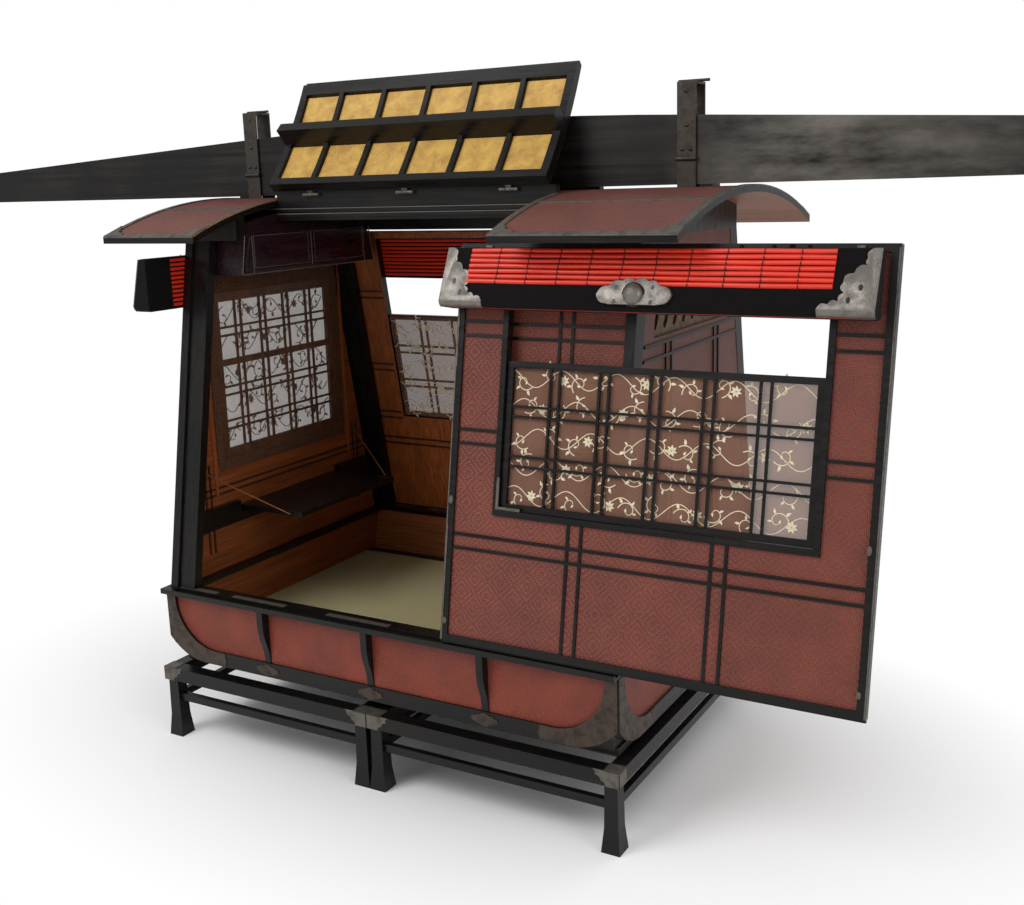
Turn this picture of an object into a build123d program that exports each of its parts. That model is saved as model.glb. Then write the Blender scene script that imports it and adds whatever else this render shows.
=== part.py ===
from build123d import *
import math
import os

# A lacquered palanquin with a vaulted roof, standing on two low trestle stands.
# Units are millimetres. +X runs along the carrying pole, -Y faces the open near
# side, +Z is up, and the origin is on the floor under the middle of the cabin.

# Stands
STAND_LENGTH = 598.0
STAND_GAP = 4.0
STAND_WIDTH = 885.0
STAND_HEIGHT = 176.0
STAND_RAIL_WIDTH = 32.0
STAND_RAIL_DEPTH = 32.0
LEG_TOP = 28.0
LEG_ANKLE = 31.0
LEG_FOOT = 41.0
LEG_ANKLE_HEIGHT = 52.0
LEG_INSET = 5.0
STRETCHER_WIDTH = 14.0
STRETCHER_DEPTH = 18.0
STRETCHER_BOTTOM = 90.0

# Hull below the ledge
HULL_LENGTH = 1184.0
HULL_WIDTH = 844.0
HULL_BOARD = 22.0
HULL_BOTTOM = 198.0
HULL_CORNER_RISE = 52.0
HULL_CORNER_RUN = 112.0
HULL_RAIL = 34.0
HULL_EDGE = 28.0
HULL_ARC_RADIUS = 118.0
HULL_RECESS = 6.0
HULL_PLATE = 1.5
HULL_PLATE_REACH = 165.0
HULL_PLATE_MARGIN = 2.0
HULL_LOBE = 10.0
HULL_LOBES = ((-1.2, 0.9), (0.0, 1.2), (1.2, 0.9))
RAIL_LOBES = ((-2.6, 0.6), (-1.5, 1.0), (0.0, 1.45), (1.5, 1.0), (2.6, 0.6))
PAN_END_INSET = 17.0
PAN_SIDE_INSET = 35.0
PAN_TOP = 222.0
PAN_FIT = 1.0
LINING_FOOT_DEPTH = 55.0
LINING_HEAD_DEPTH = 22.0
LINING_END_DEPTH = 20.0
TATAMI_TOP = 258.0
TATAMI_GAP = 3.0
SOFT_GAP = 0.3

# Ledge that carries the walls and guides the doors
LEDGE_OVERHANG = 18.0
LEDGE_THICKNESS = 12.0
SILL_TOP = 373.0
LEDGE_END_WIDTH = 57.0
LEDGE_SIDE_WIDTH = 60.0
GROOVE_WIDTH = 15.0
GROOVE_DEPTH = 6.0
GROOVE_OFFSET = 15.0
KNEE_THICKNESS = 16.0
KNEE_SHOULDER = 34.0
KNEE_FOOT = 3.0
KNEE_SETBACK = 3.0
KNEE_PITCH = 290.0

# Walls, which lean inwards on both long sides
WALL_END_INSET = 13.0
WALL_SIDE_INSET = 10.0
WALL_LEAN = 10.4
WALL_THICKNESS = 22.0
WALL_TOP = 1168.0
POST_WIDTH = 22.0
POST_DEPTH = 40.0
POST_STOP = 6.0
JAMB_WIDTH = 48.0
PANEL_NOTCH = 6.0
PANEL_EDGE = 14.0
PANEL_SINK = 4.0
PANEL_RIDGE_PLACE = 432.0
END_WALL_THICKNESS = 20.0
RIDGE_WIDTH = 6.0
RIDGE_HEIGHT = 3.0
RIDGE_PAIR = 28.0
RIDGE_HEIGHTS = (208.0, 421.0, 638.0)
END_RIDGE_PLACE = 135.0

# Sliding doors
DOOR_LENGTH = 860.0
DOOR_THICKNESS = 20.0
DOOR_GAP = 5.0
DOOR_FOOT_GAP = 2.0
DOOR_HEAD_GAP = 10.0
DOOR_POST_GAP = 7.0
DOOR_PANEL_OVERLAP = 42.0
DOOR_HATCH_MARGIN = 11.0
DOOR_TRAVEL = 748.0
DOOR_STILE = 16.0
DOOR_RAIL = 14.0
DOOR_RECESS = 5.0
DOOR_TONGUE = 8.0
DOOR_TONGUE_DEPTH = 5.0
DOOR_WINDOW_START = 118.0
DOOR_WINDOW_LENGTH = 632.0
DOOR_WINDOW_BOTTOM = 280.0
DOOR_WINDOW_HEIGHT = 510.0
DOOR_WINDOW_FRAME = 12.0
DOOR_RIDGE_PLACES = (289.0, 580.0)
SASH_HEIGHT = 296.0
SASH_RAIL = 13.0
SASH_BAR = 5.0
SASH_THICKNESS = 9.0
SASH_PAIR = 20.0
SASH_COLUMNS = 6
SASH_ROWS = 3
SASH_BACK = 4.0
GAUZE_THICKNESS = 1.0

# End window in the left wall
END_WINDOW_WIDTH = 450.0
END_WINDOW_BOTTOM = 645.0
END_WINDOW_TOP = 1052.0
END_WINDOW_FRAME = 21.0
END_RAIL_HEIGHT = 879.0
END_RAIL_DEPTH = 15.0
END_SASH_COLUMNS = 5
END_SASH_ROWS = (725.0, 809.0, 955.0)
LATTICE_WIDTH = 410.0
LATTICE_BOTTOM = 985.0
LATTICE_TOP = 1085.0
LATTICE_THICKNESS = 6.0
LATTICE_SLOT = 16.0
LATTICE_SWING = 12.0
LATTICE_PITCH = 50.0
LATTICE_MARGIN = 12.0
LATTICE_SIDE_SLOTS = 4

# Vaulted roof
ROOF_LENGTH = 1411.0
ROOF_WIDTH = 804.0
ROOF_RIDGE = 1270.0
ROOF_EAVE = 1193.0
ROOF_THICKNESS = 13.0
ROOF_STRIP = 2.5
ROOF_BORDER = 14.0
ROOF_BATTEN = 7.0
ROOF_BATTEN_PLACE = 209.0
HATCH_RIDGE_SIDE = 116.0
HATCH_GAP = 5.0
HATCH_RIB_DEPTH = 10.0
HATCH_RAIL = 18.0
HATCH_EAVE_RAIL = 38.0
HATCH_LIP = 12.0
HATCH_BAR = 12.0
HATCH_COLUMNS = 6
HATCH_AXIS_HEIGHT = 1276.0
HATCH_AXIS_SIDE = 122.0
HATCH_OPEN = 137.0
HINGE_RADIUS = 4.0
HINGE_REACH = 26.0
HINGE_SEAT = 6.0
HINGE_PLATE = 3.0
HINGE_SPREAD = 0.36
HINGE_KNUCKLE = 14.0
HINGE_KNUCKLE_GAP = 1.0
LINTEL_DEPTH = 30.0
LINTEL_RABBET_WIDTH = 6.0
LINTEL_RABBET_DEPTH = 5.0
RIDGE_BEAM_WIDTH = 30.0
RIDGE_BEAM_DEPTH = 34.0
RIDGE_RAIL_WIDTH = 20.0
RIDGE_RAIL_TOP = 1284.0
LINING_THICKNESS = 1.5
LINING_MARGIN = 1.0

# Carrying pole and its hangers
POLE_HALF_LENGTH = 2100.0
POLE_WIDTH = 44.0
POLE_BOTTOM = 1275.0
POLE_DEPTH = 152.0
POLE_END_DEPTH = 50.0
POLE_END_LIFT = 4.0
POLE_FLAT = 1000.0
POLE_CROWN = 600.0
HANGER_PLACE = 573.5
HANGER_WIDTH = 40.0
HANGER_PLATE = 4.0
HANGER_GAP = 1.0
HANGER_TOP = 1472.0
HANGER_KNUCKLE = 1326.0
HANGER_KNUCKLE_RADIUS = 4.5
HANGER_PIN_RADIUS = 3.0
HANGER_PIN_LENGTH = 66.0
SADDLE_LENGTH = 28.0
SADDLE_PLACE = 40.0

# Rolled blinds
BLIND_HEIGHT = 120.0
BLIND_TOP_DEPTH = 22.0
BLIND_BOTTOM_DEPTH = 50.0
BLIND_GAP = 4.0
BLIND_SETBACK = 12.0
BLIND_DROP = 10.0
BLIND_HOOK_WIDTH = 14.0
BLIND_HOOK_HEIGHT = 26.0
BLIND_HOOK_INSET = 60.0
END_BLIND_WIDTH = 796.0
END_BLIND_TOP = 1145.0
END_HOOK_PLACE = 215.0

# Fittings inside the cabin
CABINET_FRONT = -426.0
CABINET_BOTTOM = 1098.0
CABINET_ROOM_WIDTH = 426.0
CABINET_FIT = 2.0
CABINET_ROOF_GAP = 16.0
CABINET_BOARD = 10.0
CABINET_DOOR = 9.0
KNOB_RADIUS = 8.0
KNOB_PLACE = 165.0
KNOB_LENGTH = 12.0
CABINET_STILE = 14.0
CABINET_DOOR_GAP = 2.0
SHELF_DEPTH = 205.0
SHELF_WIDTH = 384.0
SHELF_HEIGHT = 523.0
SHELF_THICKNESS = 12.0
SHELF_RAIL = 16.0
SHELF_RAIL_DROP = 40.0
SHELF_RAIL_HEIGHT = 22.0
SHELF_RAIL_RISE = 12.0
SHELF_RAIL_FIT = 2.0
SHELF_PIN_RADIUS = 3.0
SHELF_PIN_FIT = 0.5
SHELF_LUG = 18.0
SHELF_LUG_GAP = 6.0
CORD_RADIUS = 1.5
CORD_TOP = 621.0
CORD_TOP_PLACE = 293.0
CORD_END_INSET = 30.0
CORD_SIDE_GAP = 8.0
SHELF_STUD_RADIUS = 2.0

os.makedirs("parts", exist_ok=True)

# Sizes worked out from the driving sizes
LEAN = math.radians(WALL_LEAN)
WALL_RISE = WALL_TOP - SILL_TOP
HALF_WALL_WIDTH = HULL_WIDTH / 2 - WALL_SIDE_INSET
HALF_WALL_LENGTH = HULL_LENGTH / 2 - WALL_END_INSET
LEDGE_WIDTH = HULL_WIDTH + 2 * LEDGE_OVERHANG
DOOR_CLOSED_START = -HALF_WALL_LENGTH + POST_WIDTH + DOOR_POST_GAP
PANEL_START = DOOR_CLOSED_START + DOOR_LENGTH - DOOR_PANEL_OVERLAP
HATCH_START = CABINET_FRONT
HATCH_END = DOOR_CLOSED_START + DOOR_LENGTH + DOOR_HATCH_MARGIN
DOOR_HEIGHT = (WALL_RISE - DOOR_FOOT_GAP) / math.cos(LEAN)
ROOF_SAGITTA = ROOF_RIDGE - ROOF_EAVE
ROOF_RADIUS = ((ROOF_WIDTH / 2) ** 2 + ROOF_SAGITTA ** 2) / (2 * ROOF_SAGITTA)
NEAR_WALL = Plane(
    origin=(0, -HALF_WALL_WIDTH, SILL_TOP),
    x_dir=(1, 0, 0),
    z_dir=(0, -math.cos(LEAN), math.sin(LEAN)),
)


def span(x, y, z):
    """Box between two values on each axis, each given as a (low, high) pair."""
    low = (x[0], y[0], z[0])
    high = (x[1], y[1], z[1])
    middle = [(a + b) / 2 for a, b in zip(low, high)]
    size = [b - a for a, b in zip(low, high)]
    return Pos(*middle) * Box(*size)


def wall_half_width(height):
    """Half width of the cabin at a height, over the outer faces of the leaning walls."""
    return HALF_WALL_WIDTH - (height - SILL_TOP) * math.tan(LEAN)


def roof_height(y, drop=0.0):
    """Height of the roof's outer surface at a distance y from the ridge, less a drop."""
    return ROOF_RIDGE - ROOF_RADIUS + math.sqrt(ROOF_RADIUS ** 2 - y ** 2) - drop


def roof_section(y_low, y_high, top_drop, bottom_drop):
    """Face in the YZ plane between two arcs parallel to the roof's outer arc."""
    y_mid = (y_low + y_high) / 2
    top = ThreePointArc(
        (0, y_low, roof_height(y_low, top_drop)),
        (0, y_mid, roof_height(y_mid, top_drop)),
        (0, y_high, roof_height(y_high, top_drop)),
    )
    bottom = ThreePointArc(
        (0, y_low, roof_height(y_low, bottom_drop)),
        (0, y_mid, roof_height(y_mid, bottom_drop)),
        (0, y_high, roof_height(y_high, bottom_drop)),
    )
    ends = [Line(top @ 0, bottom @ 0), Line(top @ 1, bottom @ 1)]
    return make_face(Wire([top, bottom] + ends))


def roof_slab(x_low, x_high, y_low, y_high, top_drop=0.0, bottom_drop=ROOF_THICKNESS):
    """Curved slab of the vault between two x and two y values."""
    face = roof_section(y_low, y_high, top_drop, bottom_drop)
    return Pos(x_low, 0, 0) * extrude(face, amount=x_high - x_low, dir=(1, 0, 0))


def mirror_side(shape):
    """The same shape on the far side of the cabin."""
    return mirror(shape, about=Plane.XZ)


def joined(shapes):
    """One solid from several that touch or overlap."""
    result = shapes[0]
    for shape in shapes[1:]:
        result = result + shape
    return result


def save(name, shapes):
    """Write one node; a list of separate solids shares the node as a compound."""
    solids = []
    for shape in shapes if isinstance(shapes, list) else [shapes]:
        solids += list(shape.solids())
    whole = solids[0] if len(solids) == 1 else Compound(children=solids)
    export_step(whole, f"parts/{name}.step")


# Low stands: an open top frame on four legs that flare at the foot, with stretchers

def stand(x_low):
    """One stand, from its left end."""
    x_high = x_low + STAND_LENGTH
    half = STAND_WIDTH / 2
    rail_bottom = STAND_HEIGHT - STAND_RAIL_DEPTH
    frame = span((x_low, x_high), (-half, half), (rail_bottom, STAND_HEIGHT))
    hole = span(
        (x_low + STAND_RAIL_WIDTH, x_high - STAND_RAIL_WIDTH),
        (-half + STAND_RAIL_WIDTH, half - STAND_RAIL_WIDTH),
        (rail_bottom - 1, STAND_HEIGHT + 1),
    )
    pieces = [frame - hole]
    inset = LEG_INSET + LEG_TOP / 2
    leg_x = (x_low + inset, x_high - inset)
    leg_y = (-half + inset, half - inset)
    sections = ((0.0, LEG_FOOT), (LEG_ANKLE_HEIGHT, LEG_ANKLE), (rail_bottom, LEG_TOP))
    for x in leg_x:
        for y in leg_y:
            for (z_low, low), (z_high, high) in zip(sections, sections[1:]):
                bottom = Pos(x, y, z_low) * Rectangle(low, low)
                top = Pos(x, y, z_high) * Rectangle(high, high)
                pieces.append(loft([bottom, top]))
    z_span = (STRETCHER_BOTTOM, STRETCHER_BOTTOM + STRETCHER_DEPTH)
    wide = STRETCHER_WIDTH / 2
    for y in leg_y:
        pieces.append(span(leg_x, (y - wide, y + wide), z_span))
    for x in leg_x:
        pieces.append(span((x - wide, x + wide), leg_y, z_span))
    return joined(pieces)


save("stand_left", stand(-STAND_GAP / 2 - STAND_LENGTH))
save("stand_right", stand(STAND_GAP / 2))


# Hull: four boards whose lower edges sweep up to the corners, round a shallow floor pan

LEDGE_BOTTOM = SILL_TOP - LEDGE_THICKNESS
HALF_HULL_LENGTH = HULL_LENGTH / 2
HALF_HULL_WIDTH = HULL_WIDTH / 2


def hull_outline(half):
    """Board outline in its own plane, with both lower corners swept up in an arc."""
    run = half - HULL_CORNER_RUN
    high = HULL_BOTTOM + HULL_CORNER_RISE
    left = TangentArc((-run, HULL_BOTTOM), (-half, high), tangent=(-1, 0))
    right = TangentArc((run, HULL_BOTTOM), (half, high), tangent=(1, 0))
    edges = [
        left,
        right,
        Line((-run, HULL_BOTTOM), (run, HULL_BOTTOM)),
        Line((-half, high), (-half, LEDGE_BOTTOM)),
        Line((half, high), (half, LEDGE_BOTTOM)),
        Line((-half, LEDGE_BOTTOM), (half, LEDGE_BOTTOM)),
    ]
    return make_face(Wire(edges))


def hull_recess(half):
    """Field of a hull board, rounded like a boat at its lower corners."""
    edge = half - HULL_EDGE
    low = HULL_BOTTOM + HULL_RAIL
    run = edge - HULL_ARC_RADIUS
    turn = low + HULL_ARC_RADIUS
    left = TangentArc((-run, low), (-edge, turn), tangent=(-1, 0))
    right = TangentArc((run, low), (edge, turn), tangent=(1, 0))
    edges = [
        left,
        right,
        Line((-run, low), (run, low)),
        Line((-edge, turn), (-edge, LEDGE_BOTTOM)),
        Line((edge, turn), (edge, LEDGE_BOTTOM)),
        Line((-edge, LEDGE_BOTTOM), (edge, LEDGE_BOTTOM)),
    ]
    return make_face(Wire(edges))


def hull_board(half, trim):
    """Board in the XY plane, z from 0 outwards, with its field sunk on the outer face."""
    board = extrude(hull_outline(half), amount=HULL_BOARD)
    field = Pos(0, 0, HULL_BOARD - HULL_RECESS) * extrude(hull_recess(half), amount=HULL_RECESS + 1)
    board = board - field
    if trim > 0:
        keep = span((-half + trim, half - trim), (0, SILL_TOP), (-1, HULL_BOARD + 1))
        board = board & keep
    return board


NEAR_HULL = Plane(origin=(0, -HALF_HULL_WIDTH + HULL_BOARD, 0), x_dir=(1, 0, 0), z_dir=(0, -1, 0))
RIGHT_HULL = Plane(origin=(HALF_HULL_LENGTH - HULL_BOARD, 0, 0), x_dir=(0, 1, 0), z_dir=(1, 0, 0))
hull_side = NEAR_HULL * hull_board(HALF_HULL_LENGTH, 0)
hull_end = RIGHT_HULL * hull_board(HALF_HULL_WIDTH, HULL_BOARD)
save("hull_side_near", hull_side)
save("hull_side_far", mirror_side(hull_side))
save("hull_end_right", hull_end)
save("hull_end_left", mirror(hull_end, about=Plane.YZ))


def corner_plate(half):
    """Sheet on the frame at a board's right lower corner, ending in lobes like a cloud."""
    frame = hull_outline(half) - hull_recess(half)
    inside = frame & offset(hull_outline(half), amount=-HULL_PLATE_MARGIN)
    end = half - HULL_PLATE_REACH
    middle = HULL_BOTTOM + HULL_RAIL / 2
    keep = Pos((end + half) / 2, LEDGE_BOTTOM / 2) * Rectangle(half - end, LEDGE_BOTTOM)
    for share, size in HULL_LOBES:
        keep = keep + Pos(end, middle + share * HULL_LOBE) * Circle(size * HULL_LOBE)
    return extrude(inside & keep, amount=HULL_PLATE)


def rail_plate(x):
    """Lobed sheet on the bottom rail of a hull side, centred on one x value."""
    middle = HULL_BOTTOM + HULL_RAIL / 2
    outline = Sketch()
    for share, size in RAIL_LOBES:
        outline = outline + Pos(x + share * HULL_LOBE, middle) * Circle(size * HULL_LOBE)
    return extrude(outline, amount=HULL_PLATE)


plates = []
side_corner = Pos(0, 0, HULL_BOARD) * corner_plate(HALF_HULL_LENGTH)
end_corner = Pos(0, 0, HULL_BOARD) * corner_plate(HALF_HULL_WIDTH)
for sheet in [side_corner, mirror(side_corner, about=Plane.YZ)]:
    plates.append(NEAR_HULL * sheet)
for place in (-1, 0, 1):
    plates.append(NEAR_HULL * Pos(0, 0, HULL_BOARD) * rail_plate(place * KNEE_PITCH))
plates += [mirror_side(sheet) for sheet in plates]
for sheet in [end_corner, mirror(end_corner, about=Plane.YZ)]:
    right_sheet = RIGHT_HULL * sheet
    plates += [right_sheet, mirror(right_sheet, about=Plane.YZ)]
save("hull_plates", plates)

pan = span(
    (-HALF_HULL_LENGTH + PAN_END_INSET, HALF_HULL_LENGTH - PAN_END_INSET),
    (-HALF_HULL_WIDTH + PAN_SIDE_INSET, HALF_HULL_WIDTH - PAN_SIDE_INSET),
    (STAND_HEIGHT, HULL_BOTTOM),
)
pan_edges = pan.edges().filter_by(GeomType.LINE).group_by(Axis.Z)[0]
INNER_LENGTH = HALF_HULL_LENGTH - HULL_BOARD
INNER_WIDTH = HALF_HULL_WIDTH - HULL_BOARD
LINING_FOOT = INNER_WIDTH - LINING_FOOT_DEPTH
LINING_HEAD = INNER_WIDTH - LINING_HEAD_DEPTH
LINING_END = INNER_LENGTH - LINING_END_DEPTH
floor_board = span(
    (-INNER_LENGTH + PAN_FIT, INNER_LENGTH - PAN_FIT),
    (-INNER_WIDTH + PAN_FIT, INNER_WIDTH - PAN_FIT),
    (HULL_BOTTOM, PAN_TOP),
)
save("floor_pan", joined([chamfer(pan_edges, length=6), floor_board]))


def lining_side():
    """Sloping board inside the near hull side, from the ledge down to the floor."""
    outline = Polyline(
        (-INNER_WIDTH + PAN_FIT, PAN_TOP),
        (-LINING_FOOT, PAN_TOP),
        (-LINING_HEAD, LEDGE_BOTTOM),
        (-INNER_WIDTH + PAN_FIT, LEDGE_BOTTOM),
        close=True,
    )
    plane = Plane(origin=(-INNER_LENGTH + PAN_FIT, 0, 0), x_dir=(0, 1, 0), z_dir=(1, 0, 0))
    return plane * extrude(make_face(outline), amount=2 * (INNER_LENGTH - PAN_FIT))


def lining_end():
    """Upright board inside the right hull end, between the sloping side boards."""
    outline = Polyline(
        (-LINING_FOOT + PAN_FIT, PAN_TOP),
        (LINING_FOOT - PAN_FIT, PAN_TOP),
        (LINING_HEAD - PAN_FIT, LEDGE_BOTTOM),
        (-LINING_HEAD + PAN_FIT, LEDGE_BOTTOM),
        close=True,
    )
    plane = Plane(origin=(LINING_END, 0, 0), x_dir=(0, 1, 0), z_dir=(1, 0, 0))
    return plane * extrude(make_face(outline), amount=INNER_LENGTH - PAN_FIT - LINING_END)


side_lining = lining_side()
end_lining = lining_end()
save(
    "hull_lining",
    [side_lining, mirror_side(side_lining), end_lining, mirror(end_lining, about=Plane.YZ)],
)
tatami_x = LINING_END - TATAMI_GAP
tatami_y = LINING_FOOT - TATAMI_GAP
save(
    "tatami",
    span((-tatami_x, tatami_x), (-tatami_y, tatami_y), (PAN_TOP + SOFT_GAP, TATAMI_TOP)),
)


def knee(x):
    """Bracket under the ledge with an S-shaped outer edge, standing on the sunk field."""
    field = HALF_HULL_WIDTH - HULL_RECESS
    reach = LEDGE_WIDTH / 2 - KNEE_SETBACK
    low = HULL_BOTTOM + HULL_RAIL
    foot = field + KNEE_FOOT
    shoulder = LEDGE_BOTTOM - KNEE_SHOULDER
    middle = (low + shoulder) / 2
    waist = (foot + reach) / 2
    upper = TangentArc((-reach, shoulder), (-waist, middle), tangent=(0, -1))
    lower = TangentArc((-foot, low), (-waist, middle), tangent=(0, 1))
    edges = [
        Line((-field, low), (-field, LEDGE_BOTTOM)),
        Line((-field, LEDGE_BOTTOM), (-reach, LEDGE_BOTTOM)),
        Line((-reach, LEDGE_BOTTOM), (-reach, shoulder)),
        upper,
        lower,
        Line((-foot, low), (-field, low)),
    ]
    face = make_face(Wire(edges))
    plane = Plane(origin=(x - KNEE_THICKNESS / 2, 0, 0), x_dir=(0, 1, 0), z_dir=(1, 0, 0))
    return plane * extrude(face, amount=KNEE_THICKNESS)


knees = [knee(place * KNEE_PITCH) for place in (-1, 0, 1)]
save("knees_near", knees)
save("knees_far", [mirror_side(piece) for piece in knees])

# Ledge with a door groove on each long side, open at its right end
groove_y = HALF_WALL_WIDTH + GROOVE_OFFSET
ledge = span(
    (-HALF_HULL_LENGTH, HALF_HULL_LENGTH),
    (-LEDGE_WIDTH / 2, LEDGE_WIDTH / 2),
    (LEDGE_BOTTOM, SILL_TOP),
) - span(
    (-HALF_HULL_LENGTH + LEDGE_END_WIDTH, HALF_HULL_LENGTH - LEDGE_END_WIDTH),
    (-LEDGE_WIDTH / 2 + LEDGE_SIDE_WIDTH, LEDGE_WIDTH / 2 - LEDGE_SIDE_WIDTH),
    (LEDGE_BOTTOM - 1, SILL_TOP + 1),
)
groove = span(
    (DOOR_CLOSED_START - DOOR_GAP, HALF_HULL_LENGTH + 1),
    (-groove_y - GROOVE_WIDTH / 2, -groove_y + GROOVE_WIDTH / 2),
    (SILL_TOP - GROOVE_DEPTH, SILL_TOP + 1),
)
save("ledge", ledge - groove - mirror_side(groove))


# Cabin frame: corner posts that lean with the walls, door jambs and fixed head beams

def wall_block(x, v, w):
    """Box in the near wall's own frame: x along the wall, v up its slope, w outwards."""
    return NEAR_WALL * span(x, v, w)


def under_roof(y_low, y_high, x_low, x_high, bottom, clearance=0.0):
    """Piece that fills the space from a level bottom up to the roof's underside."""
    top_drop = ROOF_THICKNESS + clearance
    y_mid = (y_low + y_high) / 2
    arc = ThreePointArc(
        (0, y_low, roof_height(y_low, top_drop)),
        (0, y_mid, roof_height(y_mid, top_drop)),
        (0, y_high, roof_height(y_high, top_drop)),
    )
    edges = [
        arc,
        Line((0, y_low, roof_height(y_low, top_drop)), (0, y_low, bottom)),
        Line((0, y_low, bottom), (0, y_high, bottom)),
        Line((0, y_high, bottom), (0, y_high, roof_height(y_high, top_drop))),
    ]
    return Pos(x_low, 0, 0) * extrude(make_face(Wire(edges)), amount=x_high - x_low, dir=(1, 0, 0))


POST_SLOPE = WALL_RISE / math.cos(LEAN)
LINTEL_BOTTOM = WALL_TOP + DOOR_HEAD_GAP
LINTEL_LOW = -wall_half_width(LINTEL_BOTTOM)
LINTEL_HIGH = LINTEL_LOW + LINTEL_DEPTH
level_cut = span((-ROOF_LENGTH, ROOF_LENGTH), (-ROOF_WIDTH, ROOF_WIDTH), (SILL_TOP, LINTEL_BOTTOM))


def frame_left():
    """Near post and jamb of the left end with the fixed head beam over them."""
    left = (-HALF_WALL_LENGTH, -HALF_WALL_LENGTH + POST_WIDTH)
    jamb = (left[1], left[1] + JAMB_WIDTH)
    tall = (-POST_DEPTH, POST_SLOPE + POST_DEPTH)
    post = wall_block(left, tall, (-POST_DEPTH, POST_STOP)) & level_cut
    jamb_board = wall_block(jamb, tall, (-WALL_THICKNESS, 0)) & level_cut
    head = under_roof(LINTEL_LOW, LINTEL_HIGH, left[0], HATCH_START, LINTEL_BOTTOM)
    return [post, jamb_board, head]


def frame_right():
    """Near post of the right end, flush with the wall, with its fixed head beam."""
    right = (HALF_WALL_LENGTH - POST_WIDTH, HALF_WALL_LENGTH)
    tall = (-POST_DEPTH, POST_SLOPE + POST_DEPTH)
    post = wall_block(right, tall, (-POST_DEPTH, 0)) & level_cut
    head = under_roof(LINTEL_LOW, LINTEL_HIGH, HATCH_END, right[1], LINTEL_BOTTOM)
    return [post, head]


def end_tie(x_low):
    """Head beam across one end, from lintel to lintel, under the roof."""
    return under_roof(LINTEL_HIGH, -LINTEL_HIGH, x_low, x_low + POST_WIDTH, LINTEL_BOTTOM)


for end_name, side_pieces, tie_start in (
    ("left", frame_left(), -HALF_WALL_LENGTH),
    ("right", frame_right(), HALF_WALL_LENGTH - POST_WIDTH),
):
    far_pieces = [mirror_side(piece) for piece in side_pieces]
    save(f"cabin_frame_{end_name}", joined(side_pieces + [end_tie(tie_start)] + far_pieces))

# End walls between the posts, the left one with a window, the right one with a lattice
END_FACE = Plane(origin=(0, 0, 0), x_dir=(0, 1, 0), z_dir=(1, 0, 0))


def end_wall(x_low):
    """Board between the leaning posts of one end."""
    inner_low = wall_half_width(SILL_TOP) - POST_DEPTH / math.cos(LEAN)
    inner_high = wall_half_width(LINTEL_BOTTOM) - POST_DEPTH / math.cos(LEAN)
    outline = Polyline(
        (-inner_low, SILL_TOP),
        (inner_low, SILL_TOP),
        (inner_high, LINTEL_BOTTOM),
        (-inner_high, LINTEL_BOTTOM),
        close=True,
    )
    board = extrude(make_face(outline), amount=END_WALL_THICKNESS)
    return Pos(x_low, 0, 0) * (END_FACE * board)


left_wall = end_wall(-HALF_WALL_LENGTH + 1) - span(
    (-HALF_WALL_LENGTH, -HALF_WALL_LENGTH + END_WALL_THICKNESS + 2),
    (-END_WINDOW_WIDTH / 2, END_WINDOW_WIDTH / 2),
    (END_WINDOW_BOTTOM, END_WINDOW_TOP),
)
save("end_wall_left", left_wall)
right_wall = end_wall(HALF_WALL_LENGTH - END_WALL_THICKNESS - 1) - span(
    (HALF_WALL_LENGTH - END_WALL_THICKNESS - 2, HALF_WALL_LENGTH + 1),
    (-LATTICE_WIDTH / 2, LATTICE_WIDTH / 2),
    (LATTICE_BOTTOM, LATTICE_TOP),
)
right_face = HALF_WALL_LENGTH - 1
ridge_x = (right_face - 1, right_face + RIDGE_HEIGHT)
wall_ridges = []
for z in (LATTICE_BOTTOM - 9, LATTICE_BOTTOM - 9 - RIDGE_PAIR):
    reach = wall_half_width(z) - POST_DEPTH - 4
    wall_ridges.append(span(ridge_x, (-reach, reach), (z - RIDGE_WIDTH, z)))
for side in (-1, 1):
    for offset in (-RIDGE_PAIR / 2, RIDGE_PAIR / 2):
        y = side * END_RIDGE_PLACE + offset
        y_span = (y - RIDGE_WIDTH / 2, y + RIDGE_WIDTH / 2)
        wall_ridges.append(span(ridge_x, y_span, (SILL_TOP + 2, LATTICE_BOTTOM - 12)))
save("end_wall_right", joined([right_wall] + wall_ridges))
lattice_x = right_face - END_WALL_THICKNESS / 2


def lattice_slot(y):
    """Cutter for one S-shaped slot of the lattice, centred on a y value."""
    low = LATTICE_BOTTOM + LATTICE_MARGIN + LATTICE_SLOT / 2
    high = LATTICE_TOP - LATTICE_MARGIN - LATTICE_SLOT / 2
    middle = (low + high) / 2
    lower = TangentArc((y, middle), (y - LATTICE_SWING, low), tangent=(0, -1))
    upper = TangentArc((y, middle), (y + LATTICE_SWING, high), tangent=(0, 1))
    slot = SlotArc(Wire([lower, upper]), height=LATTICE_SLOT)
    return Pos(lattice_x - LATTICE_THICKNESS, 0, 0) * (END_FACE * extrude(slot, amount=2 * LATTICE_THICKNESS))


lattice = span(
    (lattice_x - LATTICE_THICKNESS / 2, lattice_x + LATTICE_THICKNESS / 2),
    (-LATTICE_WIDTH / 2, LATTICE_WIDTH / 2),
    (LATTICE_BOTTOM, LATTICE_TOP),
)
for step in range(-LATTICE_SIDE_SLOTS, LATTICE_SIDE_SLOTS):
    lattice = lattice - lattice_slot((step + 0.5) * LATTICE_PITCH)
save("end_lattice", lattice)

# Fixed panel beside each doorway
PANEL_END = HALF_WALL_LENGTH - POST_WIDTH


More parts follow.
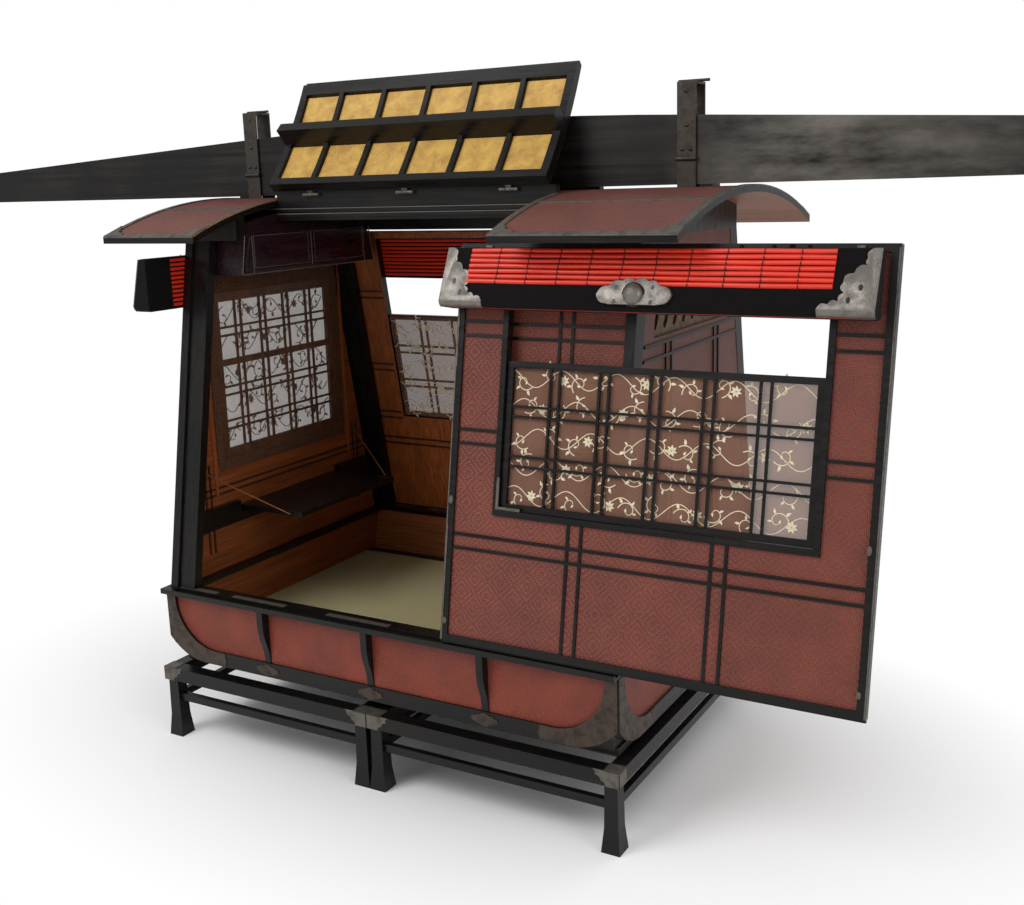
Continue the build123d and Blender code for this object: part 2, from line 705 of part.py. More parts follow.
def side_panel():
    """Near fixed panel: sunk field with raised ridges, notched under the hatch's lintel."""
    slope = (DOOR_FOOT_GAP, POST_SLOPE + DOOR_THICKNESS)
    board = wall_block((PANEL_START, PANEL_END), slope, (-WALL_THICKNESS, 0))
    field_x = (PANEL_START + PANEL_EDGE, PANEL_END + 1)
    field_v = (PANEL_EDGE, POST_SLOPE - PANEL_EDGE)
    pieces = [board - wall_block(field_x, field_v, (-PANEL_SINK, 1))]
    ridge_w = (-PANEL_SINK - 1, -PANEL_SINK + RIDGE_HEIGHT)
    for offset in (-RIDGE_PAIR / 2 - RIDGE_WIDTH / 2, RIDGE_PAIR / 2 - RIDGE_WIDTH / 2):
        for v in RIDGE_HEIGHTS:
            v_span = (v + offset, v + offset + RIDGE_WIDTH)
            pieces.append(wall_block((PANEL_START, PANEL_END), v_span, ridge_w))
        x = PANEL_RIDGE_PLACE + offset
        pieces.append(wall_block((x, x + RIDGE_WIDTH), field_v, ridge_w))
    piece = joined(pieces) & level_cut
    notch = span(
        (PANEL_START - 1, HATCH_END + HATCH_GAP),
        (-HALF_WALL_WIDTH, 0),
        (LINTEL_BOTTOM - PANEL_NOTCH, LINTEL_BOTTOM + 1),
    )
    return piece - notch


panel = side_panel()
save("side_panel_near", panel)
save("side_panel_far", mirror_side(panel))


# Sliding doors: framed panels with a window, a lowered sash and a rolled blind

def door_place(start):
    """Frame of the near door: u from its left end, v up the slope, w outwards from its back."""
    foot = DOOR_FOOT_GAP / math.cos(LEAN)
    local = NEAR_WALL * Pos(start, foot, DOOR_GAP)
    return local


def door_leaf():
    """Door board with its window cut and both faces recessed inside the frame."""
    leaf = span((0, DOOR_LENGTH), (0, DOOR_HEIGHT), (0, DOOR_THICKNESS))
    field = span(
        (DOOR_STILE, DOOR_LENGTH - DOOR_STILE),
        (DOOR_RAIL, DOOR_HEIGHT - DOOR_RAIL),
        (DOOR_THICKNESS - DOOR_RECESS, DOOR_THICKNESS + 1),
    )
    window_u = (DOOR_WINDOW_START, DOOR_WINDOW_START + DOOR_WINDOW_LENGTH)
    window_v = (DOOR_WINDOW_BOTTOM, DOOR_WINDOW_BOTTOM + DOOR_WINDOW_HEIGHT)
    rim = span(
        (window_u[0] - DOOR_WINDOW_FRAME, window_u[1] + DOOR_WINDOW_FRAME),
        (window_v[0] - DOOR_WINDOW_FRAME, window_v[1] + DOOR_WINDOW_FRAME),
        (DOOR_THICKNESS - DOOR_RECESS - 1, DOOR_THICKNESS),
    )
    ridge_w = (DOOR_THICKNESS - DOOR_RECESS - 1, DOOR_THICKNESS - DOOR_RECESS + RIDGE_HEIGHT)
    inner_u = (DOOR_STILE, DOOR_LENGTH - DOOR_STILE)
    ridges = []
    for v in RIDGE_HEIGHTS:
        for offset in (-RIDGE_PAIR / 2, RIDGE_PAIR / 2):
            low = v + offset - RIDGE_WIDTH / 2
            ridges.append(span(inner_u, (low, low + RIDGE_WIDTH), ridge_w))
    for u in DOOR_RIDGE_PLACES:
        for offset in (-RIDGE_PAIR / 2, RIDGE_PAIR / 2):
            low = u + offset - RIDGE_WIDTH / 2
            ridges.append(span((low, low + RIDGE_WIDTH), (DOOR_RAIL, window_v[0]), ridge_w))
    tongue_middle = (DOOR_THICKNESS - DOOR_TONGUE) / 2
    tongue = span(
        (0, DOOR_LENGTH),
        (-DOOR_TONGUE_DEPTH, 1),
        (tongue_middle, tongue_middle + DOOR_TONGUE),
    )
    leaf = joined([leaf - field, rim, tongue] + ridges)
    return leaf - span(window_u, window_v, (-1, DOOR_THICKNESS + 1))


def door_sash():
    """Lowered sash: a frame with pairs of thin bars."""
    u_low = DOOR_WINDOW_START + 1
    u_high = DOOR_WINDOW_START + DOOR_WINDOW_LENGTH - 1
    v_low = DOOR_WINDOW_BOTTOM + 1
    v_high = v_low + SASH_HEIGHT
    w_span = (SASH_BACK, SASH_BACK + SASH_THICKNESS)
    frame = span((u_low, u_high), (v_low, v_high), w_span) - span(
        (u_low + SASH_RAIL, u_high - SASH_RAIL),
        (v_low + SASH_RAIL, v_high - SASH_RAIL),
        (w_span[0] - 1, w_span[1] + 1),
    )
    bars = []
    bar_w = (w_span[0] + 2, w_span[1] - 2)
    for column in range(1, SASH_COLUMNS):
        u = u_low + (u_high - u_low) * column / SASH_COLUMNS
        for side in (-SASH_PAIR / 2, SASH_PAIR / 2):
            bars.append(span((u + side - SASH_BAR / 2, u + side + SASH_BAR / 2), (v_low + 2, v_high - 2), bar_w))
    for row in range(1, SASH_ROWS):
        v = v_low + (v_high - v_low) * row / SASH_ROWS
        for side in (-SASH_PAIR / 2, SASH_PAIR / 2):
            bars.append(span((u_low + 2, u_high - 2), (v + side - SASH_BAR / 2, v + side + SASH_BAR / 2), bar_w))
    return joined([frame] + bars)


def door_gauze():
    """Gauze stretched on the back of the sash."""
    u_low = DOOR_WINDOW_START + 4
    u_high = DOOR_WINDOW_START + DOOR_WINDOW_LENGTH - 4
    v_low = DOOR_WINDOW_BOTTOM + 4
    w_span = (SASH_BACK - GAUZE_THICKNESS, SASH_BACK)
    return span((u_low, u_high), (v_low, v_low + SASH_HEIGHT - 6), w_span)


def blind_roll(length):
    """Rolled blind in its own frame: u along it, v up, w outwards, thicker and round below."""
    radius = BLIND_BOTTOM_DEPTH / 2 - 4
    outline = Polyline(
        (0, BLIND_HEIGHT),
        (0, 0),
        (BLIND_BOTTOM_DEPTH, 0),
        (BLIND_TOP_DEPTH, BLIND_HEIGHT),
        close=True,
    )
    face = make_face(outline)
    low = face.vertices().sort_by(Axis.Y)[:2]
    face = fillet(low, radius=radius)
    section = Plane(origin=(0, 0, 0), x_dir=(0, 0, 1), z_dir=(-1, 0, 0)) * face
    return Pos(length, 0, 0) * extrude(section, amount=length, dir=(-1, 0, 0))


def door_blind():
    """Blind hung on the outer face of the door, just under its head."""
    v_low = DOOR_HEIGHT - BLIND_DROP - BLIND_HEIGHT
    u_low = -BLIND_SETBACK
    return Pos(u_low, v_low, DOOR_THICKNESS + BLIND_GAP) * blind_roll(DOOR_LENGTH - BLIND_SETBACK)


def blind_hangers():
    """Two small brackets that carry the blind on the door head."""
    v_high = DOOR_HEIGHT - 4
    pieces = []
    for u in (BLIND_HOOK_INSET, DOOR_LENGTH - BLIND_SETBACK - BLIND_HOOK_INSET):
        u_span = (u, u + BLIND_HOOK_WIDTH)
        v_span = (v_high - BLIND_HOOK_HEIGHT, v_high)
        pieces.append(span(u_span, v_span, (DOOR_THICKNESS, DOOR_THICKNESS + BLIND_GAP)))
    return pieces


NEAR_START = DOOR_CLOSED_START + DOOR_TRAVEL
near_place = door_place(NEAR_START)
far_place = door_place(DOOR_CLOSED_START)
DOOR_PIECES = (
    ("door", door_leaf()),
    ("door_sash", door_sash()),
    ("door_gauze", door_gauze()),
    ("door_blind", door_blind()),
    ("door_blind_hooks", blind_hangers()),
)
for piece_name, shape in DOOR_PIECES:
    group = shape if isinstance(shape, list) else [shape]
    save(f"near_{piece_name}", [near_place * item for item in group])
    save(f"far_{piece_name}", [mirror_side(far_place * item) for item in group])

# End window: its sash and gauze, and the blind rolled up outside it
sash_face = -HALF_WALL_LENGTH + 1 + END_WALL_THICKNESS
sash_x = (sash_face - SASH_THICKNESS, sash_face)
window_y = (-END_WINDOW_WIDTH / 2 + 1, END_WINDOW_WIDTH / 2 - 1)
window_z = (END_WINDOW_BOTTOM + 1, END_WINDOW_TOP - 1)
end_sash = span(sash_x, window_y, window_z) - span(
    (sash_x[0] - 1, sash_x[1] + 1),
    (window_y[0] + END_WINDOW_FRAME, window_y[1] - END_WINDOW_FRAME),
    (window_z[0] + END_WINDOW_FRAME, window_z[1] - END_WINDOW_FRAME),
)
rail_z = (END_RAIL_HEIGHT - END_RAIL_DEPTH / 2, END_RAIL_HEIGHT + END_RAIL_DEPTH / 2)
end_bars = [span(sash_x, window_y, rail_z)]
for column in range(1, END_SASH_COLUMNS):
    y = window_y[0] + (window_y[1] - window_y[0]) * column / END_SASH_COLUMNS
    for side in (-SASH_PAIR / 2, SASH_PAIR / 2):
        bar_y = (y + side - SASH_BAR / 2, y + side + SASH_BAR / 2)
        end_bars.append(span((sash_x[0] + 2, sash_x[1] - 2), bar_y, (window_z[0] + 2, window_z[1] - 2)))
for z in END_SASH_ROWS:
    for side in (-SASH_PAIR / 2, SASH_PAIR / 2):
        bar_z = (z + side - SASH_BAR / 2, z + side + SASH_BAR / 2)
        end_bars.append(span((sash_x[0] + 2, sash_x[1] - 2), (window_y[0] + 2, window_y[1] - 2), bar_z))
save("end_sash", joined([end_sash] + end_bars))
save(
    "end_gauze",
    span(
        (sash_x[0] - GAUZE_THICKNESS, sash_x[0]),
        (window_y[0] + 3, window_y[1] - 3),
        (window_z[0] + 3, window_z[1] - 3),
    ),
)
LEFT_FACE = Plane(
    origin=(-HALF_WALL_LENGTH + 1 - BLIND_GAP, END_BLIND_WIDTH / 2, END_BLIND_TOP - BLIND_HEIGHT),
    x_dir=(0, -1, 0),
    z_dir=(-1, 0, 0),
)
save("end_blind", LEFT_FACE * blind_roll(END_BLIND_WIDTH))
end_hooks = []
end_hook_x = (-HALF_WALL_LENGTH + 1 - BLIND_GAP, -HALF_WALL_LENGTH + 1)
for middle in (-END_HOOK_PLACE, END_HOOK_PLACE):
    y_span = (middle - BLIND_HOOK_WIDTH / 2, middle + BLIND_HOOK_WIDTH / 2)
    end_hooks.append(span(end_hook_x, y_span, (END_BLIND_TOP - BLIND_HOOK_HEIGHT, END_BLIND_TOP)))
save("end_blind_hooks", end_hooks)


# Roof: a vault with an opening on each side of the ridge

half_roof = ROOF_LENGTH / 2
half_eave = ROOF_WIDTH / 2
vault = roof_slab(-half_roof, half_roof, -half_eave, half_eave)
opening = span(
    (HATCH_START, HATCH_END),
    (-half_eave - 1, -HATCH_RIDGE_SIDE),
    (ROOF_EAVE - ROOF_THICKNESS - 5, ROOF_RIDGE + 5),
)
save("roof_vault", vault - opening - mirror_side(opening))



def roof_strips():
    """Raised borders round the two wings of the vault, with one batten along each side."""
    strips = []
    for wing_low, wing_high in ((-half_roof, HATCH_START), (HATCH_END, half_roof)):
        gable_low = wing_low if wing_low < 0 else wing_high - ROOF_BORDER
        cut_low = wing_high - ROOF_BORDER if wing_low < 0 else wing_low
        strips.append((gable_low, gable_low + ROOF_BORDER, -half_eave, half_eave))
        for y_low, y_high in ((-half_eave, -HATCH_RIDGE_SIDE), (HATCH_RIDGE_SIDE, half_eave)):
            strips.append((cut_low, cut_low + ROOF_BORDER, y_low, y_high))
        inner = (wing_low + ROOF_BORDER, wing_high - ROOF_BORDER)
        for side in (-1, 1):
            eave = sorted((side * half_eave, side * (half_eave - ROOF_BORDER)))
            batten = sorted((side * ROOF_BATTEN_PLACE, side * (ROOF_BATTEN_PLACE + ROOF_BATTEN)))
            for y_low, y_high in (eave, batten):
                strips.append((*inner, y_low, y_high))
    return joined([roof_slab(*strip, top_drop=-ROOF_STRIP, bottom_drop=0) for strip in strips])


save("roof_battens", roof_strips())

beam_low = HATCH_RIDGE_SIDE - RIDGE_BEAM_WIDTH
ridge_beam = roof_slab(
    -HALF_WALL_LENGTH + POST_WIDTH,
    HALF_WALL_LENGTH - POST_WIDTH,
    -HATCH_RIDGE_SIDE,
    -beam_low,
    ROOF_THICKNESS,
    ROOF_THICKNESS + RIDGE_BEAM_DEPTH,
)
save("ridge_beam_near", ridge_beam)
save("ridge_beam_far", mirror_side(ridge_beam))
rail_bottom = roof_height(HATCH_RIDGE_SIDE, ROOF_THICKNESS / 2)
rail_side = (-HATCH_RIDGE_SIDE, -HATCH_RIDGE_SIDE + RIDGE_RAIL_WIDTH)
ridge_rail = span((HATCH_START, HATCH_END), rail_side, (rail_bottom, RIDGE_RAIL_TOP)) - vault
save("ridge_rail_near", ridge_rail)
save("ridge_rail_far", mirror_side(ridge_rail))


# Hatch leaves, drawn closed; the near one is then thrown open towards the pole

LEAF_START = HATCH_START + HATCH_GAP
LEAF_END = HATCH_END - HATCH_GAP
LEAF_RIDGE = -HATCH_RIDGE_SIDE - HATCH_GAP


def hatch_fields():
    """Openings between the ribs under a leaf, as x and y limits, in two rows."""
    length = LEAF_END - LEAF_START
    rows = ((-half_eave + HATCH_EAVE_RAIL, LINTEL_LOW), (LINTEL_HIGH, LEAF_RIDGE - HATCH_RAIL))
    fields = []
    for y_low, y_high in rows:
        for column in range(HATCH_COLUMNS):
            x_low = LEAF_START + length * column / HATCH_COLUMNS + HATCH_BAR / 2
            x_high = LEAF_START + length * (column + 1) / HATCH_COLUMNS - HATCH_BAR / 2
            if column == 0:
                x_low = LEAF_START + HATCH_RAIL
            if column == HATCH_COLUMNS - 1:
                x_high = LEAF_END - HATCH_RAIL
            fields.append((x_low, x_high, y_low, y_high))
    return fields


def hatch_leaf():
    """Near leaf: curved board with rails, bars and a middle board for the lintel."""
    rib_drop = ROOF_THICKNESS + HATCH_RIB_DEPTH
    board = roof_slab(LEAF_START, LEAF_END, -half_eave, LEAF_RIDGE, 0, rib_drop)
    lip = roof_slab(
        LEAF_START - 1,
        LEAF_END + 1,
        -half_eave - 1,
        -half_eave + HATCH_LIP,
        ROOF_THICKNESS,
        rib_drop + 20,
    )
    board = board - lip
    for x_low, x_high, y_low, y_high in hatch_fields():
        board = board - roof_slab(x_low, x_high, y_low, y_high, ROOF_THICKNESS, rib_drop + 20)
    return board


def hatch_lining():
    """Paper panels between the ribs, as separate sheets against the board."""
    sheets = []
    for x_low, x_high, y_low, y_high in hatch_fields():
        sheets.append(
            roof_slab(
                x_low + LINING_MARGIN,
                x_high - LINING_MARGIN,
                y_low + LINING_MARGIN,
                y_high - LINING_MARGIN,
                ROOF_THICKNESS,
                ROOF_THICKNESS + LINING_THICKNESS,
            )
        )
    return sheets


def hatch_lintel():
    """Door head in the plane of the wall that lifts with the leaf, rabbeted along its outer edge."""
    beam = under_roof(LINTEL_LOW, LINTEL_HIGH, LEAF_START, LEAF_END, LINTEL_BOTTOM, HATCH_RIB_DEPTH)
    rabbet = span(
        (LEAF_START - 1, LEAF_END + 1),
        (LINTEL_LOW - 1, LINTEL_LOW + LINTEL_RABBET_WIDTH),
        (LINTEL_BOTTOM - 1, LINTEL_BOTTOM + LINTEL_RABBET_DEPTH),
    )
    return beam - rabbet


def hinge_plates(on_leaf):
    """Hinge halves: a share of the barrel with its plate on the leaf or its tab on the rail."""
    pieces = []
    length = LEAF_END - LEAF_START
    middle = (LEAF_START + LEAF_END) / 2
    for share in (-HINGE_SPREAD, 0.0, HINGE_SPREAD):
        x = middle + share * length
        if on_leaf:
            knuckles = ((x - HINGE_KNUCKLE / 2, x + HINGE_KNUCKLE / 2),)
            seat_y = LEAF_RIDGE - HINGE_SEAT
            edge_y = seat_y - HINGE_REACH
            outer = [
                (edge_y, roof_height(edge_y) + HINGE_PLATE),
                (edge_y, roof_height(edge_y) - 1),
                (seat_y, roof_height(seat_y) - 1),
            ]
        else:
            near_end = HINGE_KNUCKLE / 2 + HINGE_KNUCKLE_GAP
            far_end = near_end + HINGE_KNUCKLE
            knuckles = ((x - far_end, x - near_end), (x + near_end, x + far_end))
            outer = [
                (-HATCH_RIDGE_SIDE, HATCH_AXIS_HEIGHT + HINGE_PLATE / 2),
                (-HATCH_RIDGE_SIDE, HATCH_AXIS_HEIGHT - HINGE_PLATE / 2),
            ]
        for x_low, x_high in knuckles:
            barrel = Pos((x_low + x_high) / 2, -HATCH_AXIS_SIDE, HATCH_AXIS_HEIGHT) * (
                Rot(0, 90, 0) * Cylinder(HINGE_RADIUS, x_high - x_low)
            )
            web = Polyline(
                (-HATCH_AXIS_SIDE, HATCH_AXIS_HEIGHT + HINGE_PLATE / 2),
                *outer,
                (-HATCH_AXIS_SIDE, HATCH_AXIS_HEIGHT - HINGE_PLATE / 2),
                close=True,
            )
            plate = Pos(x_low, 0, 0) * (END_FACE * extrude(make_face(web), amount=x_high - x_low))
            roof_cut = roof_slab(x_low - 1, x_high + 1, -half_eave, 0)
            pieces.append(joined([barrel, plate]) - roof_cut)
    return pieces


def thrown_open(shape):
    """Turn a closed near leaf about its hinge until it leans on the pole."""
    axis = Axis((0, -HATCH_AXIS_SIDE, HATCH_AXIS_HEIGHT), (1, 0, 0))
    return shape.rotate(axis, -HATCH_OPEN)


leaf = hatch_leaf()
lintel = hatch_lintel()
lining = hatch_lining()
leaf_hinges = hinge_plates(True)
ridge_hinges = hinge_plates(False)
save("near_hatch", thrown_open(leaf))
save("near_hatch_lintel", thrown_open(lintel))
save("near_hatch_lining", [thrown_open(sheet) for sheet in lining])
save("near_hatch_hinges", [thrown_open(piece) for piece in leaf_hinges])
save("far_hatch", mirror_side(leaf))
save("far_hatch_lintel", mirror_side(lintel))
save("far_hatch_lining", [mirror_side(sheet) for sheet in lining])
save("far_hatch_hinges", [mirror_side(piece) for piece in leaf_hinges])
save("ridge_hinges", ridge_hinges + [mirror_side(piece) for piece in ridge_hinges])


# Carrying pole: crowned in the middle and tapering to both ends

def pole():
    """Pole with an underside that lifts a little at the ends and a top that rises to its middle."""
    top = POLE_BOTTOM + POLE_DEPTH
    end_bottom = POLE_BOTTOM + POLE_END_LIFT
    end_top = end_bottom + POLE_END_DEPTH
    slope = (top - end_top) / (POLE_HALF_LENGTH - POLE_CROWN / 2)
    shoulder = top - slope * POLE_CROWN / 2
    crown = ThreePointArc((-POLE_CROWN, shoulder), (0, top), (POLE_CROWN, shoulder))
    edges = [
        crown,
        Line((-POLE_CROWN, shoulder), (-POLE_HALF_LENGTH, end_top)),
        Line((-POLE_HALF_LENGTH, end_top), (-POLE_HALF_LENGTH, end_bottom)),
        Line((-POLE_HALF_LENGTH, end_bottom), (-POLE_FLAT, POLE_BOTTOM)),
        Line((-POLE_FLAT, POLE_BOTTOM), (POLE_FLAT, POLE_BOTTOM)),
        Line((POLE_FLAT, POLE_BOTTOM), (POLE_HALF_LENGTH, end_bottom)),
        Line((POLE_HALF_LENGTH, end_bottom), (POLE_HALF_LENGTH, end_top)),
        Line((POLE_HALF_LENGTH, end_top), (POLE_CROWN, shoulder)),
    ]
    side = Plane(origin=(0, POLE_WIDTH / 2, 0), x_dir=(1, 0, 0), z_dir=(0, -1, 0))
    return side * extrude(make_face(Wire(edges)), amount=POLE_WIDTH)


save("pole", pole())


def hanger(x):
    """Hanger: a base plate on each side of the ridge, straps up past the pole, a cap and a pin."""
    x_span = (x - HANGER_WIDTH / 2, x + HANGER_WIDTH / 2)
    inner = POLE_WIDTH / 2 + HANGER_GAP
    outer = inner + HANGER_PLATE
    pieces = []
    for side in (-1, 1):
        y_span = tuple(sorted((side * inner, side * outer)))
        pieces.append(span(x_span, y_span, (ROOF_RIDGE - 2, HANGER_TOP)))
        barrel = Rot(0, 90, 0) * Cylinder(HANGER_KNUCKLE_RADIUS, HANGER_WIDTH + 4)
        pieces.append(Pos(x, side * (outer + 1), HANGER_KNUCKLE) * barrel)
    pieces.append(span(x_span, (-outer, outer), (HANGER_TOP - 1, HANGER_TOP + HANGER_PLATE)))
    pin_shape = Rot(0, 90, 0) * Cylinder(HANGER_PIN_RADIUS, HANGER_PIN_LENGTH)
    pin = Pos(x + 6, 0, HANGER_TOP + HANGER_PLATE + 2) * pin_shape
    pieces.append(pin)
    whole = joined(pieces)
    vault_cut = roof_slab(x_span[0] - 5, x_span[1] + 5, -outer - 5, outer + 5)
    return whole - vault_cut


save("hanger_left", hanger(-HANGER_PLACE))
save("hanger_right", hanger(HANGER_PLACE))
saddle_half = POLE_WIDTH / 2
saddles = []
for side in (-1, 1):
    block_x = side * (HANGER_PLACE + SADDLE_PLACE)
    block_span = (block_x - SADDLE_LENGTH / 2, block_x + SADDLE_LENGTH / 2)
    saddle = span(block_span, (-saddle_half, saddle_half), (ROOF_RIDGE - 6, POLE_BOTTOM))
    vault_cut = roof_slab(block_span[0] - 5, block_span[1] + 5, -saddle_half - 5, saddle_half + 5)
    saddles.append(saddle - vault_cut)
save("pole_saddles", saddles)


# Cabinet under the roof at the left end, with two small doors

cabinet_back = -HALF_WALL_LENGTH + POST_WIDTH
room_half = CABINET_ROOM_WIDTH / 2


def cabinet():
    """Box open to the front, its top following the roof and its ends leaning with the walls."""
    reach = wall_half_width(CABINET_BOTTOM)
    outer = under_roof(
        -reach,
        reach,
        cabinet_back,
        CABINET_FRONT,
        CABINET_BOTTOM,
        CABINET_ROOF_GAP,
    )
    long_x = (cabinet_back - 1, CABINET_FRONT + 1)
    wall_room = wall_block(long_x, (0, 2 * WALL_RISE), (-WALL_THICKNESS - CABINET_FIT, WALL_RISE))
    head_room = span(long_x, (-reach - 1, LINTEL_HIGH + CABINET_FIT), (LINTEL_BOTTOM - CABINET_FIT, ROOF_RIDGE))
    for cutter in (wall_room, head_room):
        outer = outer - cutter - mirror_side(cutter)
    room = span(
        long_x,
        (-room_half, room_half),
        (CABINET_BOTTOM + CABINET_BOARD, LINTEL_BOTTOM + 12),
    )
    middle = span(
        (CABINET_FRONT - CABINET_STILE, CABINET_FRONT),
        (-CABINET_STILE / 2, CABINET_STILE / 2),
        (CABINET_BOTTOM + CABINET_BOARD, LINTEL_BOTTOM + 12),
    )
    beam_notch = []
    for side in (-1, 1):
        y_span = tuple(sorted((side * (beam_low - CABINET_FIT), side * (HATCH_RIDGE_SIDE + CABINET_FIT))))
        notch_bottom = roof_height(HATCH_RIDGE_SIDE, ROOF_THICKNESS + RIDGE_BEAM_DEPTH + CABINET_FIT)
        beam_notch.append(span(long_x, y_span, (notch_bottom, ROOF_RIDGE)))
    box = joined([outer - room, middle])
    return box - beam_notch[0] - beam_notch[1]


save("cabinet", cabinet())
door_z = (CABINET_BOTTOM + CABINET_BOARD + 1, LINTEL_BOTTOM + 11)
for name, side in (("cabinet_door_near", -1), ("cabinet_door_far", 1)):
    door_low = CABINET_STILE / 2 + CABINET_DOOR_GAP
    door_high = room_half - CABINET_DOOR_GAP
    y_span = tuple(sorted((side * door_low, side * door_high)))
    leaf_board = span((CABINET_FRONT - CABINET_DOOR, CABINET_FRONT), y_span, door_z)
    knob_shape = Rot(0, 90, 0) * Cylinder(KNOB_RADIUS, KNOB_LENGTH)
    knob = Pos(CABINET_FRONT + KNOB_LENGTH / 2 - 1, side * KNOB_PLACE, (door_z[0] + door_z[1]) / 2) * knob_shape
    save(name, joined([leaf_board, knob]))

# Shelf that folds up against the left wall, held level by two taut cords
wall_inside = -HALF_WALL_LENGTH + 1 + END_WALL_THICKNESS
shelf_axis_x = wall_inside + SHELF_RAIL / 2
shelf_half = SHELF_WIDTH / 2
rail_top = SHELF_HEIGHT + SHELF_RAIL_RISE
rail_foot = SHELF_HEIGHT - SHELF_RAIL_DROP
rail_half = wall_half_width(rail_top) - POST_DEPTH / math.cos(LEAN) - SHELF_RAIL_FIT
rail_x = (wall_inside, wall_inside + SHELF_RAIL)
pieces = [span(rail_x, (-rail_half, rail_half), (rail_foot, rail_foot + SHELF_RAIL_HEIGHT))]
for side in (-1, 1):
    y_span = tuple(sorted((side * (shelf_half + SHELF_LUG_GAP), side * rail_half)))
    pieces.append(span(rail_x, y_span, (rail_foot, rail_top)))
shelf_axis = Pos(shelf_axis_x, 0, SHELF_HEIGHT - SHELF_THICKNESS / 2) * Rot(90, 0, 0)
hole_half = shelf_half + SHELF_LUG_GAP + SHELF_LUG
hole = shelf_axis * Cylinder(SHELF_PIN_RADIUS + SHELF_PIN_FIT, 2 * hole_half)
save("shelf_rail", joined(pieces) - hole)
board = span(
    (wall_inside + 4, wall_inside + SHELF_DEPTH),
    (-shelf_half, shelf_half),
    (SHELF_HEIGHT - SHELF_THICKNESS, SHELF_HEIGHT),
)
round_back = shelf_axis * Cylinder(SHELF_THICKNESS / 2, SHELF_WIDTH)
back_cut = span(
    (wall_inside, shelf_axis_x),
    (-shelf_half - 1, shelf_half + 1),
    (SHELF_HEIGHT - SHELF_THICKNESS - 1, SHELF_HEIGHT + 1),
)
pin = shelf_axis * Cylinder(SHELF_PIN_RADIUS, 2 * hole_half - 8)
stud_x = wall_inside + SHELF_DEPTH - CORD_END_INSET
stud_length = 2 * (shelf_half + CORD_SIDE_GAP - CORD_RADIUS - SOFT_GAP)
stud = Pos(stud_x, 0, SHELF_HEIGHT - SHELF_THICKNESS / 2) * Rot(90, 0, 0) * Cylinder(SHELF_STUD_RADIUS, stud_length)
save("drop_shelf", joined([board - back_cut, round_back, pin, stud]))
cords = []
for side in (-1, 1):
    start = Vector(wall_inside + 1, side * CORD_TOP_PLACE, CORD_TOP)
    end = Vector(stud_x, side * (shelf_half + CORD_SIDE_GAP), SHELF_HEIGHT - SHELF_THICKNESS / 2)
    direction = end - start
    middle = start + direction * 0.5
    cords.append(Plane(origin=middle, z_dir=direction) * Cylinder(CORD_RADIUS, direction.length))
save("shelf_cords", cords)
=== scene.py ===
import logging
import math
from dataclasses import dataclass
from enum import Enum
from typing import Callable, Iterable, Optional, Sequence

import bmesh
import bpy
import numpy as np
from mathutils import Matrix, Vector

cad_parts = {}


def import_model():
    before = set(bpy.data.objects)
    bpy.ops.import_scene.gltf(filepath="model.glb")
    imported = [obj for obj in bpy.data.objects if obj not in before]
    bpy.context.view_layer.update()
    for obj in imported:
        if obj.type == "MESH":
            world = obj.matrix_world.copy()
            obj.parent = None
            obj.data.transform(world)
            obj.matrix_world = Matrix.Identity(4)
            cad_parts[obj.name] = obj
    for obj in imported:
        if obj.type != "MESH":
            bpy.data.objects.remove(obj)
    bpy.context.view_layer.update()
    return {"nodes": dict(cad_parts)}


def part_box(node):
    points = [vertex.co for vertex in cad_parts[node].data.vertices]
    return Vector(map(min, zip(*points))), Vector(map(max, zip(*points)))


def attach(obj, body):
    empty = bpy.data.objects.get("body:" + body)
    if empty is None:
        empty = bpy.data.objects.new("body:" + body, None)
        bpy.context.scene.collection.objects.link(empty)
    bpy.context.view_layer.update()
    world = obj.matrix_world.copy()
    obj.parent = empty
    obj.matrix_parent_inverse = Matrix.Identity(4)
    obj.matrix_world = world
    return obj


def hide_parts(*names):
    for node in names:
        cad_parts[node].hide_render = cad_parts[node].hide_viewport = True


LOG = logging.getLogger("palanquin")
MM = 0.001
LEAN = math.radians(10.4)
SILL_TOP = 373.0
HALF_WALL_WIDTH = 412.0
ROOF_RADIUS = 1087.9
ROOF_CROWN = 1270.0

Colour = tuple[float, float, float, float]
Mask = Callable[[np.ndarray, np.ndarray], np.ndarray]


def tint(code: str) -> Colour:
    """Linear colour from a six-digit sRGB code.

    Args:
        code: Six hexadecimal digits, red first.

    Returns:
        Linear red, green and blue with an alpha of 1.
    """
    parts = [int(code[i:i + 2], 16) / 255 for i in (0, 2, 4)]
    linear = [p / 12.92 if p <= 0.04045 else ((p + 0.055) / 1.055) ** 2.4 for p in parts]
    return (linear[0], linear[1], linear[2], 1.0)


class Lie(Enum):
    """The two world axes that a flat pattern is laid along."""

    SIDE = (0, 2)
    END = (1, 2)
    TOP = (0, 1)


